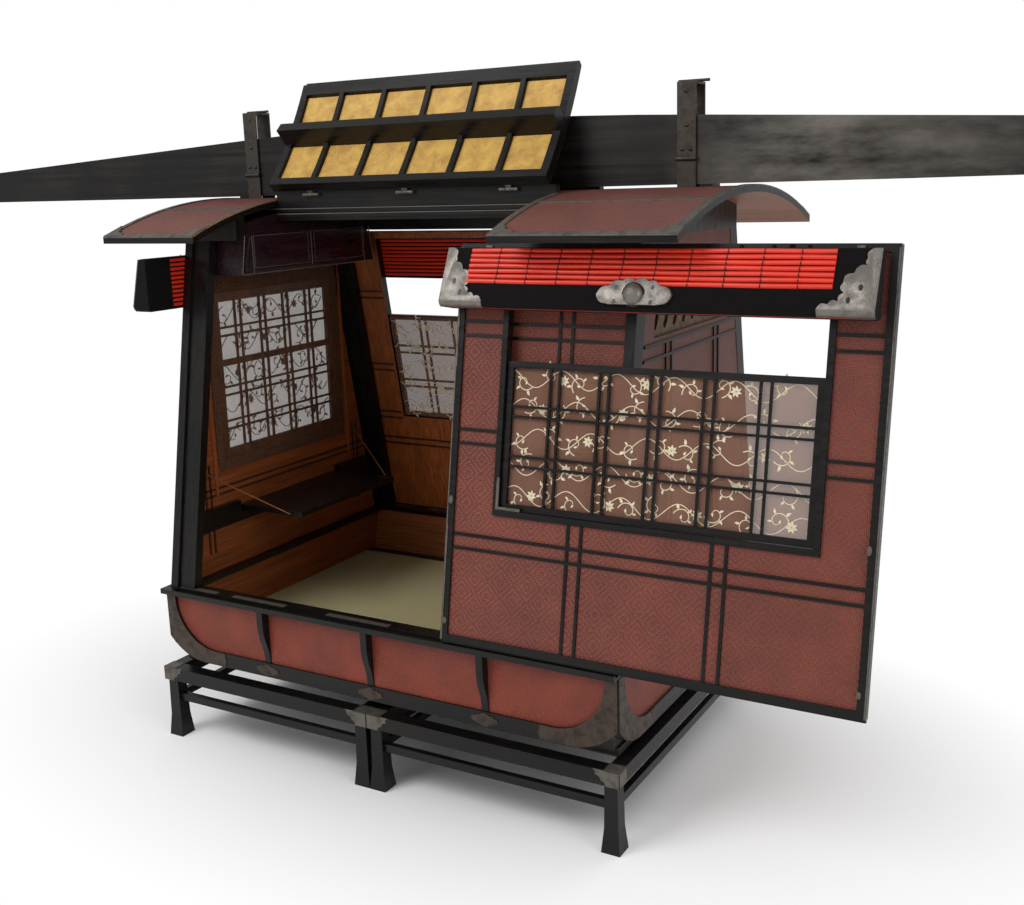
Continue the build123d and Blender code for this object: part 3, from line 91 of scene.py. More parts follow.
class Graph:
    """Shader graph of one material, with short helpers for its nodes."""

    def __init__(self, name: str) -> None:
        """Start an empty graph for a new material.

        Args:
            name: Name of the material.
        """
        self.material = bpy.data.materials.new(name)
        self.material.use_nodes = True
        self.tree = self.material.node_tree
        self.tree.nodes.clear()
        self.output = self.node("OutputMaterial")

    def node(self, kind: str) -> bpy.types.Node:
        """Add a shader node of a kind, named without its prefix."""
        return self.tree.nodes.new(f"ShaderNode{kind}")

    def plug(self, socket: bpy.types.NodeSocket, value: object) -> None:
        """Link a socket into an input, or set a plain value on it.

        Args:
            socket: Input that is fed.
            value: Socket or plain value.
        """
        if isinstance(value, bpy.types.NodeSocket):
            self.tree.links.new(value, socket)
        else:
            socket.default_value = value

    def math(self, operation: str, *values: object) -> bpy.types.NodeSocket:
        """One Math node.

        Args:
            operation: Name of the operation.
            values: Up to three numbers or sockets.

        Returns:
            The result's socket.
        """
        made = self.node("Math")
        made.operation = operation
        for socket, value in zip(made.inputs, values):
            self.plug(socket, value)
        return made.outputs[0]

    def place(self) -> bpy.types.NodeSocket:
        """Object coordinates in millimetres."""
        coord = self.node("TexCoord")
        scale = self.node("VectorMath")
        scale.operation = "SCALE"
        self.plug(scale.inputs[0], coord.outputs["Object"])
        scale.inputs["Scale"].default_value = 1 / MM
        return scale.outputs[0]

    def axes(self, vector: bpy.types.NodeSocket) -> tuple:
        """The three components of a vector."""
        split = self.node("SeparateXYZ")
        self.plug(split.inputs[0], vector)
        return tuple(split.outputs)

    def stretch(self, vector: bpy.types.NodeSocket, scale: Sequence[float]) -> bpy.types.NodeSocket:
        """A vector with each component scaled.

        Args:
            vector: Coordinates.
            scale: One factor for each axis.

        Returns:
            Vector socket.
        """
        mapping = self.node("Mapping")
        self.plug(mapping.inputs["Vector"], vector)
        mapping.inputs["Scale"].default_value = tuple(scale)
        return mapping.outputs[0]

    def noise(
        self,
        vector: bpy.types.NodeSocket,
        size: float,
        detail: float = 3.0,
        rough: float = 0.5,
        warp: float = 0.0,
    ) -> bpy.types.NodeSocket:
        """Fractal noise.

        Args:
            vector: Coordinates in millimetres.
            size: Size of the largest features in millimetres.
            detail: Octaves.
            rough: Strength of each finer octave.
            warp: Distortion.

        Returns:
            Value socket between 0 and 1.
        """
        made = self.node("TexNoise")
        self.plug(made.inputs["Vector"], vector)
        made.inputs["Scale"].default_value = 1 / size
        made.inputs["Detail"].default_value = detail
        made.inputs["Roughness"].default_value = rough
        made.inputs["Distortion"].default_value = warp
        return made.outputs[0]

    def cells(self, vector: bpy.types.NodeSocket, size: float) -> bpy.types.NodeSocket:
        """Distance to the nearest point of a cell pattern, in cells.

        Args:
            vector: Coordinates in millimetres.
            size: Size of one cell in millimetres.

        Returns:
            Value socket.
        """
        made = self.node("TexVoronoi")
        self.plug(made.inputs["Vector"], vector)
        made.inputs["Scale"].default_value = 1 / size
        return made.outputs["Distance"]

    def step(
        self, value: object, low: float, high: float, to_low: float = 0.0, to_high: float = 1.0
    ) -> bpy.types.NodeSocket:
        """Clamped linear map from one range to another.

        Args:
            value: Number or socket.
            low: Value that gives to_low.
            high: Value that gives to_high.
            to_low: Result at the low end.
            to_high: Result at the high end.

        Returns:
            Value socket.
        """
        made = self.node("MapRange")
        self.plug(made.inputs[0], value)
        for index, number in enumerate((low, high, to_low, to_high)):
            made.inputs[index + 1].default_value = number
        return made.outputs[0]

    def mix(self, share: object, first: object, second: object) -> bpy.types.NodeSocket:
        """Mix of two colours.

        Args:
            share: Share of the second colour.
            first: Colour at a share of 0.
            second: Colour at a share of 1.

        Returns:
            Colour socket.
        """
        made = self.node("Mix")
        made.data_type = "RGBA"
        self.plug(made.inputs[0], share)
        self.plug(made.inputs[6], first)
        self.plug(made.inputs[7], second)
        return made.outputs[2]

    def bump(
        self, height: bpy.types.NodeSocket, depth: float, under: Optional[object] = None
    ) -> bpy.types.NodeSocket:
        """Normal from a height map.

        Args:
            height: Height between 0 and 1.
            depth: Full height in millimetres.
            under: Normal that this one is laid over.

        Returns:
            Normal socket.
        """
        made = self.node("Bump")
        self.plug(made.inputs["Height"], height)
        made.inputs["Distance"].default_value = depth * MM
        if under is not None:
            self.plug(made.inputs["Normal"], under)
        return made.outputs[0]

    def finish(self, **sockets: object) -> bpy.types.Material:
        """Close the graph with one Principled shader.

        Args:
            sockets: Values by input name, with underscores for spaces.

        Returns:
            The finished material.
        """
        shader = self.node("BsdfPrincipled")
        for name, value in sockets.items():
            self.plug(shader.inputs[name.replace("_", " ")], value)
        self.plug(self.output.inputs[0], shader.outputs[0])
        return self.material


@dataclass(frozen=True)
class Lacquer:
    """Glossy lacquer over wood with faint streaks and worn patches, and on the pole a painted pale sheen that
    stands for a lamp's reflection.
    """

    name: str
    colour: str = "100e0d"
    worn: str = "2a231e"
    grain: tuple = (0.06, 1.0, 1.0)
    rough: float = 0.22
    wear: float = 0.35
    shine: float = 0.3
    painted_sheen: float = 0.0
    painted_sheen_span: tuple = (520.0, 760.0, 850.0, 1450.0)

    def build(self) -> bpy.types.Material:
        """Mix two lacquer colours by stretched noise and dull the gloss in patches.

        Where there is a painted sheen, a pale colour that stands for a lamp's reflection rises and falls
        along x and is broken by noise.
        """
        g = Graph(self.name)
        place = g.place()
        streak = g.noise(g.stretch(place, self.grain), 9.0, 5.0, 0.6)
        patch = g.noise(place, 160.0, 3.0, 0.6)
        shade = g.step(g.math("MULTIPLY", streak, patch), 0.2, 0.42, 0.0, self.wear)
        colour = g.mix(shade, tint(self.colour), tint(self.worn))
        # Painted reflection: a pale colour along x stands for the sheen of a lamp on the pole.
        if self.painted_sheen:
            along = g.axes(place)[0]
            start, full, fade, end = self.painted_sheen_span
            rise = g.math("MULTIPLY", g.step(along, start, full), g.step(along, end, fade))
            cloud = g.step(g.noise(g.stretch(place, (0.3, 1.0, 1.0)), 90.0, 5.0, 0.65), 0.36, 0.62)
            share = g.math("MULTIPLY", g.math("MULTIPLY", rise, cloud), self.painted_sheen)
            colour = g.mix(share, colour, tint("8b857d"))
        rough = g.step(streak, 0.3, 0.75, self.rough, self.rough + 0.22)
        bump = g.bump(g.noise(g.stretch(place, self.grain), 5.0, 4.0), 0.05)
        return g.finish(Base_Color=colour, Roughness=rough, Normal=bump, Specular_IOR_Level=self.shine)


@dataclass(frozen=True)
class Weave:
    """Lacquered herringbone weave of thin strips, laid in nested diamonds."""

    name: str
    lie: Lie
    colour: str = "86402f"
    deep: str = "47201a"
    fleck: str = "b06a58"
    strip: float = 3.0
    diamond: float = 60.0
    speckle: float = 0.35

    def build(self) -> bpy.types.Material:
        """Weave the strips from folded coordinates and speckle them.

        The cell indices of both axes are folded every half diamond and added; their
        sum modulo four says which strip lies on top, and its rounded profile is the
        height.
        """
        g = Graph(self.name)
        place = g.place()
        parts = g.axes(place)
        flat = [parts[i] for i in self.lie.value]
        folds = [g.math("PINGPONG", g.math("ADD", c, 6000.0), self.diamond / 2) for c in flat]
        index = [g.math("FLOOR", g.math("DIVIDE", f, self.strip)) for f in folds]
        over = g.math("LESS_THAN", g.math("MODULO", g.math("ADD", *index), 4.0), 1.5)
        tops = []
        for coordinate in flat:
            share = g.math("FRACT", g.math("DIVIDE", coordinate, self.strip))
            tops.append(g.math("SINE", g.math("MULTIPLY", share, math.pi)))
        level = g.math(
            "ADD",
            g.math("MULTIPLY", tops[0], over),
            g.math("MULTIPLY", tops[1], g.math("SUBTRACT", 1.0, over)),
        )
        patch = g.noise(place, 90.0, 4.0, 0.6)
        grit = g.noise(place, 3.5, 3.0, 0.7)
        colour = g.mix(g.step(level, 0.0, 0.9), tint(self.deep), tint(self.colour))
        colour = g.mix(g.step(patch, 0.35, 0.7, 0.0, 0.45), colour, tint(self.deep))
        light = g.math("MULTIPLY", g.step(grit, 0.56, 0.68), g.step(level, 0.5, 1.0))
        colour = g.mix(g.math("MULTIPLY", light, self.speckle), colour, tint(self.fleck))
        bump = g.bump(level, 0.5)
        bump = g.bump(grit, 0.15, bump)
        rough = g.step(grit, 0.3, 0.7, 0.34, 0.58)
        return g.finish(Base_Color=colour, Roughness=rough, Normal=bump, Specular_IOR_Level=0.4)


@dataclass(frozen=True)
class HullWeave(Weave):
    """Redder weave of the hull, in smaller diamonds and more rubbed."""

    colour: str = "94402c"
    deep: str = "4a1c14"
    fleck: str = "c07a5c"
    diamond: float = 30.0
    speckle: float = 0.5


@dataclass(frozen=True)
class Metal:
    """Aged fitting metal with a punched ground, brown stains and rubbed high spots."""

    name: str
    colour: str = "66615a"
    stain: str = "463f37"
    rub: str = "8d867a"
    rough: float = 0.46

    def build(self) -> bpy.types.Material:
        """Layer stains and rubbing over a finely punched ground."""
        g = Graph(self.name)
        place = g.place()
        stain = g.noise(place, 22.0, 5.0, 0.65)
        fine = g.noise(place, 2.5, 3.0, 0.6)
        punch = g.cells(place, 2.2)
        colour = g.mix(g.step(stain, 0.46, 0.74), tint(self.colour), tint(self.stain))
        colour = g.mix(g.step(fine, 0.58, 0.75, 0.0, 0.6), colour, tint(self.rub))
        bump = g.bump(punch, 0.25)
        bump = g.bump(stain, 0.3, bump)
        rough = g.step(stain, 0.35, 0.7, self.rough - 0.1, self.rough + 0.18)
        return g.finish(Base_Color=colour, Metallic=0.55, Roughness=rough, Normal=bump)


@dataclass(frozen=True)
class Timber:
    """Bare or oiled wood with grain along one axis."""

    name: str
    colour: str = "a2602f"
    dark: str = "6b3717"
    along: tuple = (0.03, 1.0, 1.0)
    rough: float = 0.5

    def build(self) -> bpy.types.Material:
        """Grain from noise stretched along the board."""
        g = Graph(self.name)
        place = g.place()
        long = g.stretch(place, self.along)
        grain = g.noise(long, 7.0, 6.0, 0.65, 0.6)
        broad = g.noise(long, 40.0, 3.0, 0.5, 0.4)
        colour = g.mix(g.step(grain, 0.35, 0.68), tint(self.dark), tint(self.colour))
        colour = g.mix(g.step(broad, 0.4, 0.7, 0.0, 0.4), colour, tint(self.dark))
        bump = g.bump(grain, 0.25)
        return g.finish(Base_Color=colour, Roughness=self.rough, Normal=bump)


@dataclass(frozen=True)
class GoldPaper:
    """Old gold-leafed paper, mottled and stained."""

    name: str = "gold_paper"

    def build(self) -> bpy.types.Material:
        """Mottle two golds and stain the paper in soft clouds."""
        g = Graph(self.name)
        place = g.place()
        cloud = g.noise(place, 35.0, 5.0, 0.6, 0.4)
        fine = g.noise(place, 5.0, 3.0, 0.6)
        colour = g.mix(g.step(cloud, 0.35, 0.65), tint("d3a850"), tint("b0853a"))
        colour = g.mix(g.step(fine, 0.5, 0.75, 0.0, 0.4), colour, tint("dcc184"))
        bump = g.bump(cloud, 0.6)
        return g.finish(Base_Color=colour, Metallic=0.15, Roughness=0.48, Normal=bump)


@dataclass(frozen=True)
class Mat:
    """Woven rush mat with fine lines along one axis."""

    name: str = "mat"

    def build(self) -> bpy.types.Material:
        """Fine ribs across the mat, broken into rush stems along them."""
        g = Graph(self.name)
        place = g.place()
        parts = g.axes(place)
        ribs = g.math("PINGPONG", parts[0], 3.2)
        stems = g.noise(g.stretch(place, (1.0, 0.04, 1.0)), 1.6, 2.0)
        broad = g.noise(place, 120.0, 3.0)
        colour = g.mix(g.step(ribs, 0.2, 2.6), tint("8f8862"), tint("c3bc93"))
        colour = g.mix(g.step(stems, 0.4, 0.7, 0.0, 0.5), colour, tint("a8a078"))
        colour = g.mix(g.step(broad, 0.35, 0.7, 0.0, 0.35), colour, tint("b7a772"))
        bump = g.bump(g.step(ribs, 0.0, 3.2), 0.6)
        bump = g.bump(stems, 0.2, bump)
        return g.finish(Base_Color=colour, Roughness=0.75, Normal=bump)


@dataclass(frozen=True)
class Gauze:
    """Thin stretched gauze that lets part of the light and view through."""

    name: str = "gauze"
    colour: str = "8a6350"
    veil: float = 0.62

    def build(self) -> bpy.types.Material:
        """Fine square threads, partly see-through by a constant share."""
        g = Graph(self.name)
        place = g.place()
        parts = g.axes(place)
        threads = g.math(
            "MULTIPLY", g.math("PINGPONG", parts[0], 0.6), g.math("PINGPONG", parts[2], 0.6)
        )
        cloud = g.noise(place, 60.0, 3.0)
        colour = g.mix(g.step(cloud, 0.3, 0.7, 0.0, 0.35), tint(self.colour), tint("6f4a3a"))
        bump = g.bump(g.step(threads, 0.0, 0.36), 0.1)
        return g.finish(Base_Color=colour, Roughness=0.85, Normal=bump, Alpha=self.veil)


@dataclass(frozen=True)
class Cloth:
    """Plain woven or napped cloth."""

    name: str
    colour: str
    light: str
    thread: float = 0.8

    def build(self) -> bpy.types.Material:
        """Fine thread noise over a soft nap."""
        g = Graph(self.name)
        place = g.place()
        nap = g.noise(place, self.thread, 2.0)
        soft = g.noise(place, 30.0, 3.0)
        colour = g.mix(g.step(nap, 0.35, 0.7), tint(self.colour), tint(self.light))
        colour = g.mix(g.step(soft, 0.4, 0.7, 0.0, 0.3), colour, tint(self.light))
        bump = g.bump(nap, 0.3)
        return g.finish(
            Base_Color=colour, Roughness=0.9, Normal=bump, Sheen_Weight=0.04, Specular_IOR_Level=0.12
        )


FINISHES = (
    Lacquer("black_lacquer", colour="0f0d0c", worn="231d19"),
    # The pole's pale sheen is a painted reflection.
    Lacquer("pole_lacquer", grain=(0.02, 1.0, 1.0), rough=0.3, wear=0.7, painted_sheen=0.6),
    Lacquer("post_lacquer", grain=(1.0, 1.0, 0.05)),
    Lacquer(
        "plum_lacquer", colour="1d0d14", worn="31171f", grain=(1.0, 0.1, 1.0), rough=0.16, shine=0.45
    ),
    # Painted highlight: light grey lacquer for thin lines that stand for highlights along the cabinet's and
    # ridge beams' edges.
    Lacquer("edge_highlight", colour="6a625a", worn="3c3530", rough=0.3),
    Lacquer(
        "vermilion_rod",
        colour="e0331c",
        worn="c42a18",
        grain=(0.03, 1.0, 1.0),
        rough=0.26,
        wear=0.8,
        shine=0.5,
    ),
    Timber("batten", colour="4a2513", dark="2c150b", along=(0.05, 1.0, 0.05)),
    HullWeave("hull_weave_side", Lie.SIDE),
    HullWeave("hull_weave_end", Lie.END),
    Weave("door_weave", Lie.SIDE),
    Weave("end_weave", Lie.END, colour="6f382b", deep="3a1b16"),
    Weave("roof_weave", Lie.TOP, colour="834a40", deep="54302a", fleck="a87a6c"),
    Metal("fitting_metal"),
    Metal("plate_metal", colour="7b766f", stain="5d564e", rub="97928a", rough=0.42),
    Metal("hull_metal", colour="493d34", stain="2b231e", rub="6b5d50", rough=0.44),
    Metal("lattice_gold", colour="5e4a2c", stain="3a2c1a", rub="8a7040", rough=0.44),
    Timber("sash_wood", colour="6e4930", dark="452a1b", along=(1.0, 0.2, 0.2)),
    Metal("hanger_metal", colour="3c3732", stain="2a211c", rub="6f5a48"),
    Metal("gilt_edge", colour="8f6f3a", stain="5a4426", rub="b9965a", rough=0.38),
    Timber("cedar_side", colour="b3622c", dark="763a17", along=(1.0, 1.0, 0.03)),
    Timber("cedar_long", colour="a9602c", dark="703a18", along=(0.03, 1.0, 1.0)),
    Timber("cedar_end", colour="a55a28", dark="693315", along=(1.0, 0.03, 1.0)),
    Timber("dark_wood", colour="2b211c", dark="17110f"),
    GoldPaper(),
    Mat(),
    Gauze(),
    Gauze("end_gauze", colour="b9aea2", veil=0.55),
    Cloth("velvet", "080607", "131011"),
    Cloth("cord_cloth", "6a3f28", "94603f"),
    Cloth("thread", "3a1a1c", "5c2c2c", 0.6),
    Cloth("vine_cream", "d2c4a0", "efe6cb", 1.2),
    Cloth("vine_shade", "6b594c", "8c7a6c", 1.2),
    Cloth("edge_cloth", "1b1712", "2e271d", 1.0),
    Cloth("band_cloth", "3f281d", "6a4a33", 5.0),
    Metal("gilt_line", colour="a87c34", stain="6d4c22", rub="cfa860", rough=0.34),
)


def wall_depth(centres: np.ndarray, far: bool = False) -> np.ndarray:
    """Distance of face centres outwards from the leaning wall's plane.

    Args:
        centres: Face centres in millimetres.
        far: Measure from the far wall.

    Returns:
        One distance per face, w = -(y + 412) cos lean + (z - 373) sin lean, with y
        mirrored for the far wall.
    """
    y = -centres[:, 1] if far else centres[:, 1]
    return -(y + HALF_WALL_WIDTH) * math.cos(LEAN) + (centres[:, 2] - SILL_TOP) * math.sin(LEAN)


class Painter:
    """Gives CAD nodes their finishes, face by face where a node has several."""

    def __init__(self, nodes: dict, materials: dict) -> None:
        """Keep the frame's nodes and the finished materials.

        Args:
            nodes: CAD nodes by name.
            materials: Materials by name.
        """
        self.nodes = nodes
        self.materials = materials

    def plain(self, names: Iterable[str], material: str) -> None:
        """One finish on each of several nodes.

        Args:
            names: Names of CAD nodes.
            material: Name of the finish.
        """
        for name in names:
            self.zones(name, material, ())

    def zones(self, name: str, base: str, rules: Sequence[tuple[str, Mask]]) -> None:
        """A base finish and others where a rule holds.

        Args:
            name: CAD node.
            base: Finish of every other face.
            rules: Pairs of a finish and a test on face centres (mm) and normals.
        """
        piece = self.nodes[name]
        mesh = piece.data
        mesh.materials.clear()
        mesh.materials.append(self.materials[base])
        count = len(mesh.polygons)
        centres = np.zeros(count * 3)
        normals = np.zeros(count * 3)
        mesh.polygons.foreach_get("center", centres)
        mesh.polygons.foreach_get("normal", normals)
        centres = centres.reshape(-1, 3) / MM
        normals = normals.reshape(-1, 3)
        index = np.zeros(count, dtype=np.int32)
        for position, (finish, rule) in enumerate(rules, start=1):
            mesh.materials.append(self.materials[finish])
            index[rule(centres, normals)] = position
        mesh.polygons.foreach_set("material_index", index)
        mesh.update()


@dataclass
class Studio:
    """Pale floor, soft lamps and the camera at the photograph's angle."""

    eye: tuple = (1.4827, -2.3309, 1.2937)
    yaw: float = 30.0
    pitch: float = -12.4
    roll: float = -1.8
    lens: float = 41.6
    shift: tuple = (-0.0022, -0.0116)
    floor_half: float = 14.0
    floor_squash: float = 1.6
    floor_fade: tuple = (700.0, 1500.0)

    def camera(self) -> None:
        """Place the camera from its yaw, pitch and roll."""
        data = bpy.data.cameras.new("camera")
        data.lens = self.lens
        data.sensor_width = 36.0
        data.shift_x, data.shift_y = self.shift
        data.clip_end = 50.0
        view = bpy.data.objects.new("camera", data)
        yaw, pitch, roll = (math.radians(a) for a in (self.yaw, self.pitch, self.roll))
        ahead = np.array([-math.sin(yaw) * math.cos(pitch), math.cos(yaw) * math.cos(pitch), math.sin(pitch)])
        right = np.array([math.cos(yaw), math.sin(yaw), 0.0])
        up = np.cross(right, ahead)
        side = math.cos(roll) * right + math.sin(roll) * up
        over = -math.sin(roll) * right + math.cos(roll) * up
        turn = np.eye(4)
        turn[:3, 0] = side
        turn[:3, 1] = over
        turn[:3, 2] = -ahead
        turn[:3, 3] = self.eye
        view.matrix_world = Matrix(turn)
        bpy.context.scene.collection.objects.link(view)
        bpy.context.scene.camera = view

    def lamp(self, name: str, place: tuple, aim: tuple, size: tuple, power: float) -> None:
        """One soft rectangular lamp.

        Args:
            name: Lamp's name.
            place: Where it stands.
            aim: Point that it faces.
            size: Width and height.
            power: Watts.
        """
        data = bpy.data.lights.new(name, "AREA")
        data.shape = "RECTANGLE"
        data.size, data.size_y = size
        data.energy = power
        lamp = bpy.data.objects.new(name, data)
        lamp.location = place
        back = np.array(place, float) - np.array(aim, float)
        flat = math.hypot(back[0], back[1])
        lamp.rotation_euler = (math.atan2(flat, back[2]), 0.0, math.atan2(back[1], back[0]) + math.pi / 2)
        bpy.context.scene.collection.objects.link(lamp)

    def floor(self) -> None:
        """Pale floor in one wide plane, plain white to the camera away from the object."""
        side = np.linspace(-self.floor_half, self.floor_half, 2)
        x, y = np.meshgrid(side, side, indexing="ij")
        points = np.stack([x.ravel(), y.ravel(), np.zeros(4)], axis=1)
        mesh = bpy.data.meshes.new("floor")
        mesh.from_pydata(points.tolist(), [], [(0, 2, 3, 1)])
        g = Graph("floor")
        parts = g.axes(g.place())
        across = g.math("POWER", g.math("MULTIPLY", parts[1], self.floor_squash), 2.0)
        reach = g.math("SQRT", g.math("ADD", g.math("POWER", parts[0], 2.0), across))
        away = g.step(reach, *self.floor_fade)
        cloud = g.step(g.noise(g.place(), 400.0), 0.3, 0.7)
        colour = g.mix(cloud, (0.93, 0.93, 0.93, 1), (0.95, 0.95, 0.95, 1))
        shader = g.node("BsdfPrincipled")
        g.plug(shader.inputs["Base Color"], colour)
        shader.inputs["Roughness"].default_value = 0.9
        glow = g.node("Emission")
        path = g.node("LightPath")
        blend = g.node("MixShader")
        g.plug(blend.inputs[0], g.math("MULTIPLY", away, path.outputs["Is Camera Ray"]))
        g.plug(blend.inputs[1], shader.outputs[0])
        g.plug(blend.inputs[2], glow.outputs[0])
        g.plug(g.output.inputs[0], blend.outputs[0])
        mesh.materials.append(g.material)
        floor = bpy.data.objects.new("floor", mesh)
        bpy.context.scene.collection.objects.link(floor)

    def world(self) -> None:
        """White to the camera and through gauze, softer as a light."""
        world = bpy.data.worlds.new("world")
        bpy.context.scene.world = world
        world.use_nodes = True
        tree = world.node_tree
        tree.nodes.clear()
        output = tree.nodes.new("ShaderNodeOutputWorld")
        light = tree.nodes.new("ShaderNodeBackground")
        light.inputs[0].default_value = (1, 1, 1, 1)
        light.inputs[1].default_value = 0.5
        seen = tree.nodes.new("ShaderNodeBackground")
        seen.inputs[0].default_value = (1, 1, 1, 1)
        seen.inputs[1].default_value = 1.0
        path = tree.nodes.new("ShaderNodeLightPath")
        choose = tree.nodes.new("ShaderNodeMixShader")
        either = tree.nodes.new("ShaderNodeMath")
        either.operation = "MAXIMUM"
        tree.links.new(path.outputs["Is Camera Ray"], either.inputs[0])
        tree.links.new(path.outputs["Is Transmission Ray"], either.inputs[1])
        tree.links.new(either.outputs[0], choose.inputs[0])
        tree.links.new(light.outputs[0], choose.inputs[1])
        tree.links.new(seen.outputs[0], choose.inputs[2])
        tree.links.new(choose.outputs[0], output.inputs[0])

    def build(self) -> None:
        """Set the whole stage up."""
        self.camera()
        self.floor()
        self.world()
        self.lamp("key", (-1.6, -3.2, 3.6), (0, 0, 0.7), (2.4, 2.4), 105.0)
        self.lamp("fill", (3.6, -1.6, 2.0), (0, 0, 0.8), (1.6, 2.2), 28.0)
        self.lamp("back", (1.5, 3.0, 3.0), (0, 0, 0.8), (2.6, 1.6), 35.0)
        scene = bpy.context.scene
        scene.view_settings.view_transform = "Standard"


def lean_front(low: float, high: float, far: bool = False) -> Mask:
    """Rule: outward faces of a leaning board between two depths.

    Args:
        low: Lower depth out of the wall plane.
        high: Upper depth.
        far: Measure from the far wall.

    Returns:
        Test on face centres and normals.
    """

    def rule(centres: np.ndarray, normals: np.ndarray) -> np.ndarray:
        """Test depth and the outward normal."""
        depth = wall_depth(centres, far)
        side = normals[:, 1] * (1 if far else -1)
        return (depth > low) & (depth < high) & (side > 0.9)

    return rule


def lean_back(low: float, high: float, far: bool = False) -> Mask:
    """Rule: inward faces of a leaning board between two depths.

    Args:
        low: Lower depth out of the wall plane.
        high: Upper depth.
        far: Measure from the far wall.

    Returns:
        Test on face centres and normals.
    """

    def rule(centres: np.ndarray, normals: np.ndarray) -> np.ndarray:
        """Test depth and the inward normal."""
        depth = wall_depth(centres, far)
        side = normals[:, 1] * (1 if far else -1)
        return (depth > low) & (depth < high) & (side < -0.9)

    return rule


def facing(axis: int, sign: float, low: float, high: float) -> Mask:
    """Rule: faces that look along one axis, with their place on it between two values.

    Args:
        axis: Axis, 0 to 2.
        sign: 1 for faces that look up the axis, -1 for down it.
        low: Lowest place in millimetres.
        high: Highest place.

    Returns:
        Test on face centres and normals.
    """

    def rule(centres: np.ndarray, normals: np.ndarray) -> np.ndarray:
        """Test the normal and the place."""
        return (normals[:, axis] * sign > 0.9) & (centres[:, axis] > low) & (centres[:, axis] < high)

    return rule


def sloping(axis: int, sign: float, least: float) -> Mask:
    """Rule: faces whose normal has at least a share along one axis.

    Args:
        axis: Axis, 0 to 2.
        sign: 1 for up the axis, -1 for down it, 0 for both ways.
        least: Least share.

    Returns:
        Test on face centres and normals.
    """

    def rule(centres: np.ndarray, normals: np.ndarray) -> np.ndarray:
        """Test the normal alone."""
        along = normals[:, axis]
        return (np.abs(along) if sign == 0 else along * sign) > least

    return rule


@dataclass
class Hull:
    """Hull, ledge, knees and floor."""

    field_depth: float = 416.0
    end_depth: float = 586.0

    def dress(self, painter: Painter) -> None:
        """Black boards with woven fields, and plain finishes on the rest.

        Args:
            painter: Painter of the CAD nodes.
        """
        for name, sign in (("hull_side_near", -1.0), ("hull_side_far", 1.0)):
            low, high = sorted((sign * (self.field_depth - 1), sign * (self.field_depth + 1)))
            painter.zones(name, "black_lacquer", (("hull_weave_side", facing(1, sign, low, high)),))
        for name, sign in (("hull_end_left", -1.0), ("hull_end_right", 1.0)):
            low, high = sorted((sign * (self.end_depth - 1), sign * (self.end_depth + 1)))
            painter.zones(name, "black_lacquer", (("hull_weave_end", facing(0, sign, low, high)),))
        painter.plain(("knees_near", "knees_far", "ledge"), "black_lacquer")
        painter.plain(("floor_pan",), "dark_wood")
        painter.zones("hull_lining", "cedar_long", (("cedar_end", sloping(0, 0, 0.9)),))


@dataclass
class Cabin:
    """Fixed frames, end walls, side panels and the roof."""

    panel_field: float = -4.0

    def dress(self, painter: Painter) -> None:
        """Dress the cabin's fixed nodes.

        Args:
            painter: Painter of the CAD nodes.
        """
        painter.plain(("cabin_frame_left", "cabin_frame_right"), "post_lacquer")
        ridge = [f"ridge_{part}_{side}" for part in ("beam", "rail") for side in ("near", "far")]
        painter.plain(ridge, "black_lacquer")
        painter.plain(("roof_battens",), "fitting_metal")
        painter.plain(("hull_plates",), "hull_metal")
        right = facing(0, 1.0, 577.0, 579.0)
        inside_right = facing(0, -1.0, 550.0, 560.0)
        painter.zones("end_wall_right", "black_lacquer", (("end_weave", right), ("cedar_side", inside_right)))
        painter.zones(
            "end_wall_left",
            "black_lacquer",
            (("end_weave", facing(0, -1.0, -580.0, -576.0)), ("cedar_end", facing(0, 1.0, -560.0, -550.0))),
        )
        painter.plain(("end_lattice",), "lattice_gold")
        for name, far in (("side_panel_near", False), ("side_panel_far", True)):
            weave = lean_front(self.panel_field - 0.5, self.panel_field + 0.5, far)
            inside = lean_back(-30, -10, far)
            painter.zones(name, "black_lacquer", (("door_weave", weave), ("cedar_side", inside)))
        painter.zones(
            "roof_vault",
            "black_lacquer",
            (("roof_weave", sloping(2, 1, 0.3)), ("cedar_long", sloping(2, -1, 0.3))),
        )
        painter.plain(("end_sash",), "sash_wood")


@dataclass
class Doors:
    """Both sliding doors with their sashes and blind hooks."""

    field_level: float = 20.0

    def dress(self, painter: Painter) -> None:
        """Dress the door nodes.

        Args:
            painter: Painter of the CAD nodes.
        """
        for side, far in (("near", False), ("far", True)):
            weave = lean_front(self.field_level - 0.6, self.field_level + 0.6, far)
            back = lean_back(3.0, 8.0, far)
            painter.zones(f"{side}_door", "black_lacquer", (("door_weave", weave), ("cedar_side", back)))
            painter.plain((f"{side}_door_sash",), "black_lacquer")
            painter.plain((f"{side}_door_blind_hooks",), "fitting_metal")


@dataclass
class Hatches:
    """Both folding hatch leaves."""

    def dress(self, painter: Painter) -> None:
        """Weave on the upper faces, black frames below.

        Args:
            painter: Painter of the CAD nodes.
        """
        for side in ("near", "far"):
            painter.plain((f"{side}_hatch",), "black_lacquer")
            painter.plain((f"{side}_hatch_lintel",), "black_lacquer")
            painter.plain((f"{side}_hatch_lining",), "gold_paper")
            painter.plain((f"{side}_hatch_hinges",), "fitting_metal")
        painter.zones("far_hatch", "black_lacquer", (("roof_weave", sloping(2, 1, 0.5)),))

        def away(centres: np.ndarray, normals: np.ndarray) -> np.ndarray:
            """Faces of the open leaf that were its top when closed."""
            return (normals[:, 1] > 0.3) & (normals[:, 2] < -0.2)

        painter.zones("near_hatch", "black_lacquer", (("roof_weave", away),))
        painter.plain(("ridge_hinges",), "fitting_metal")


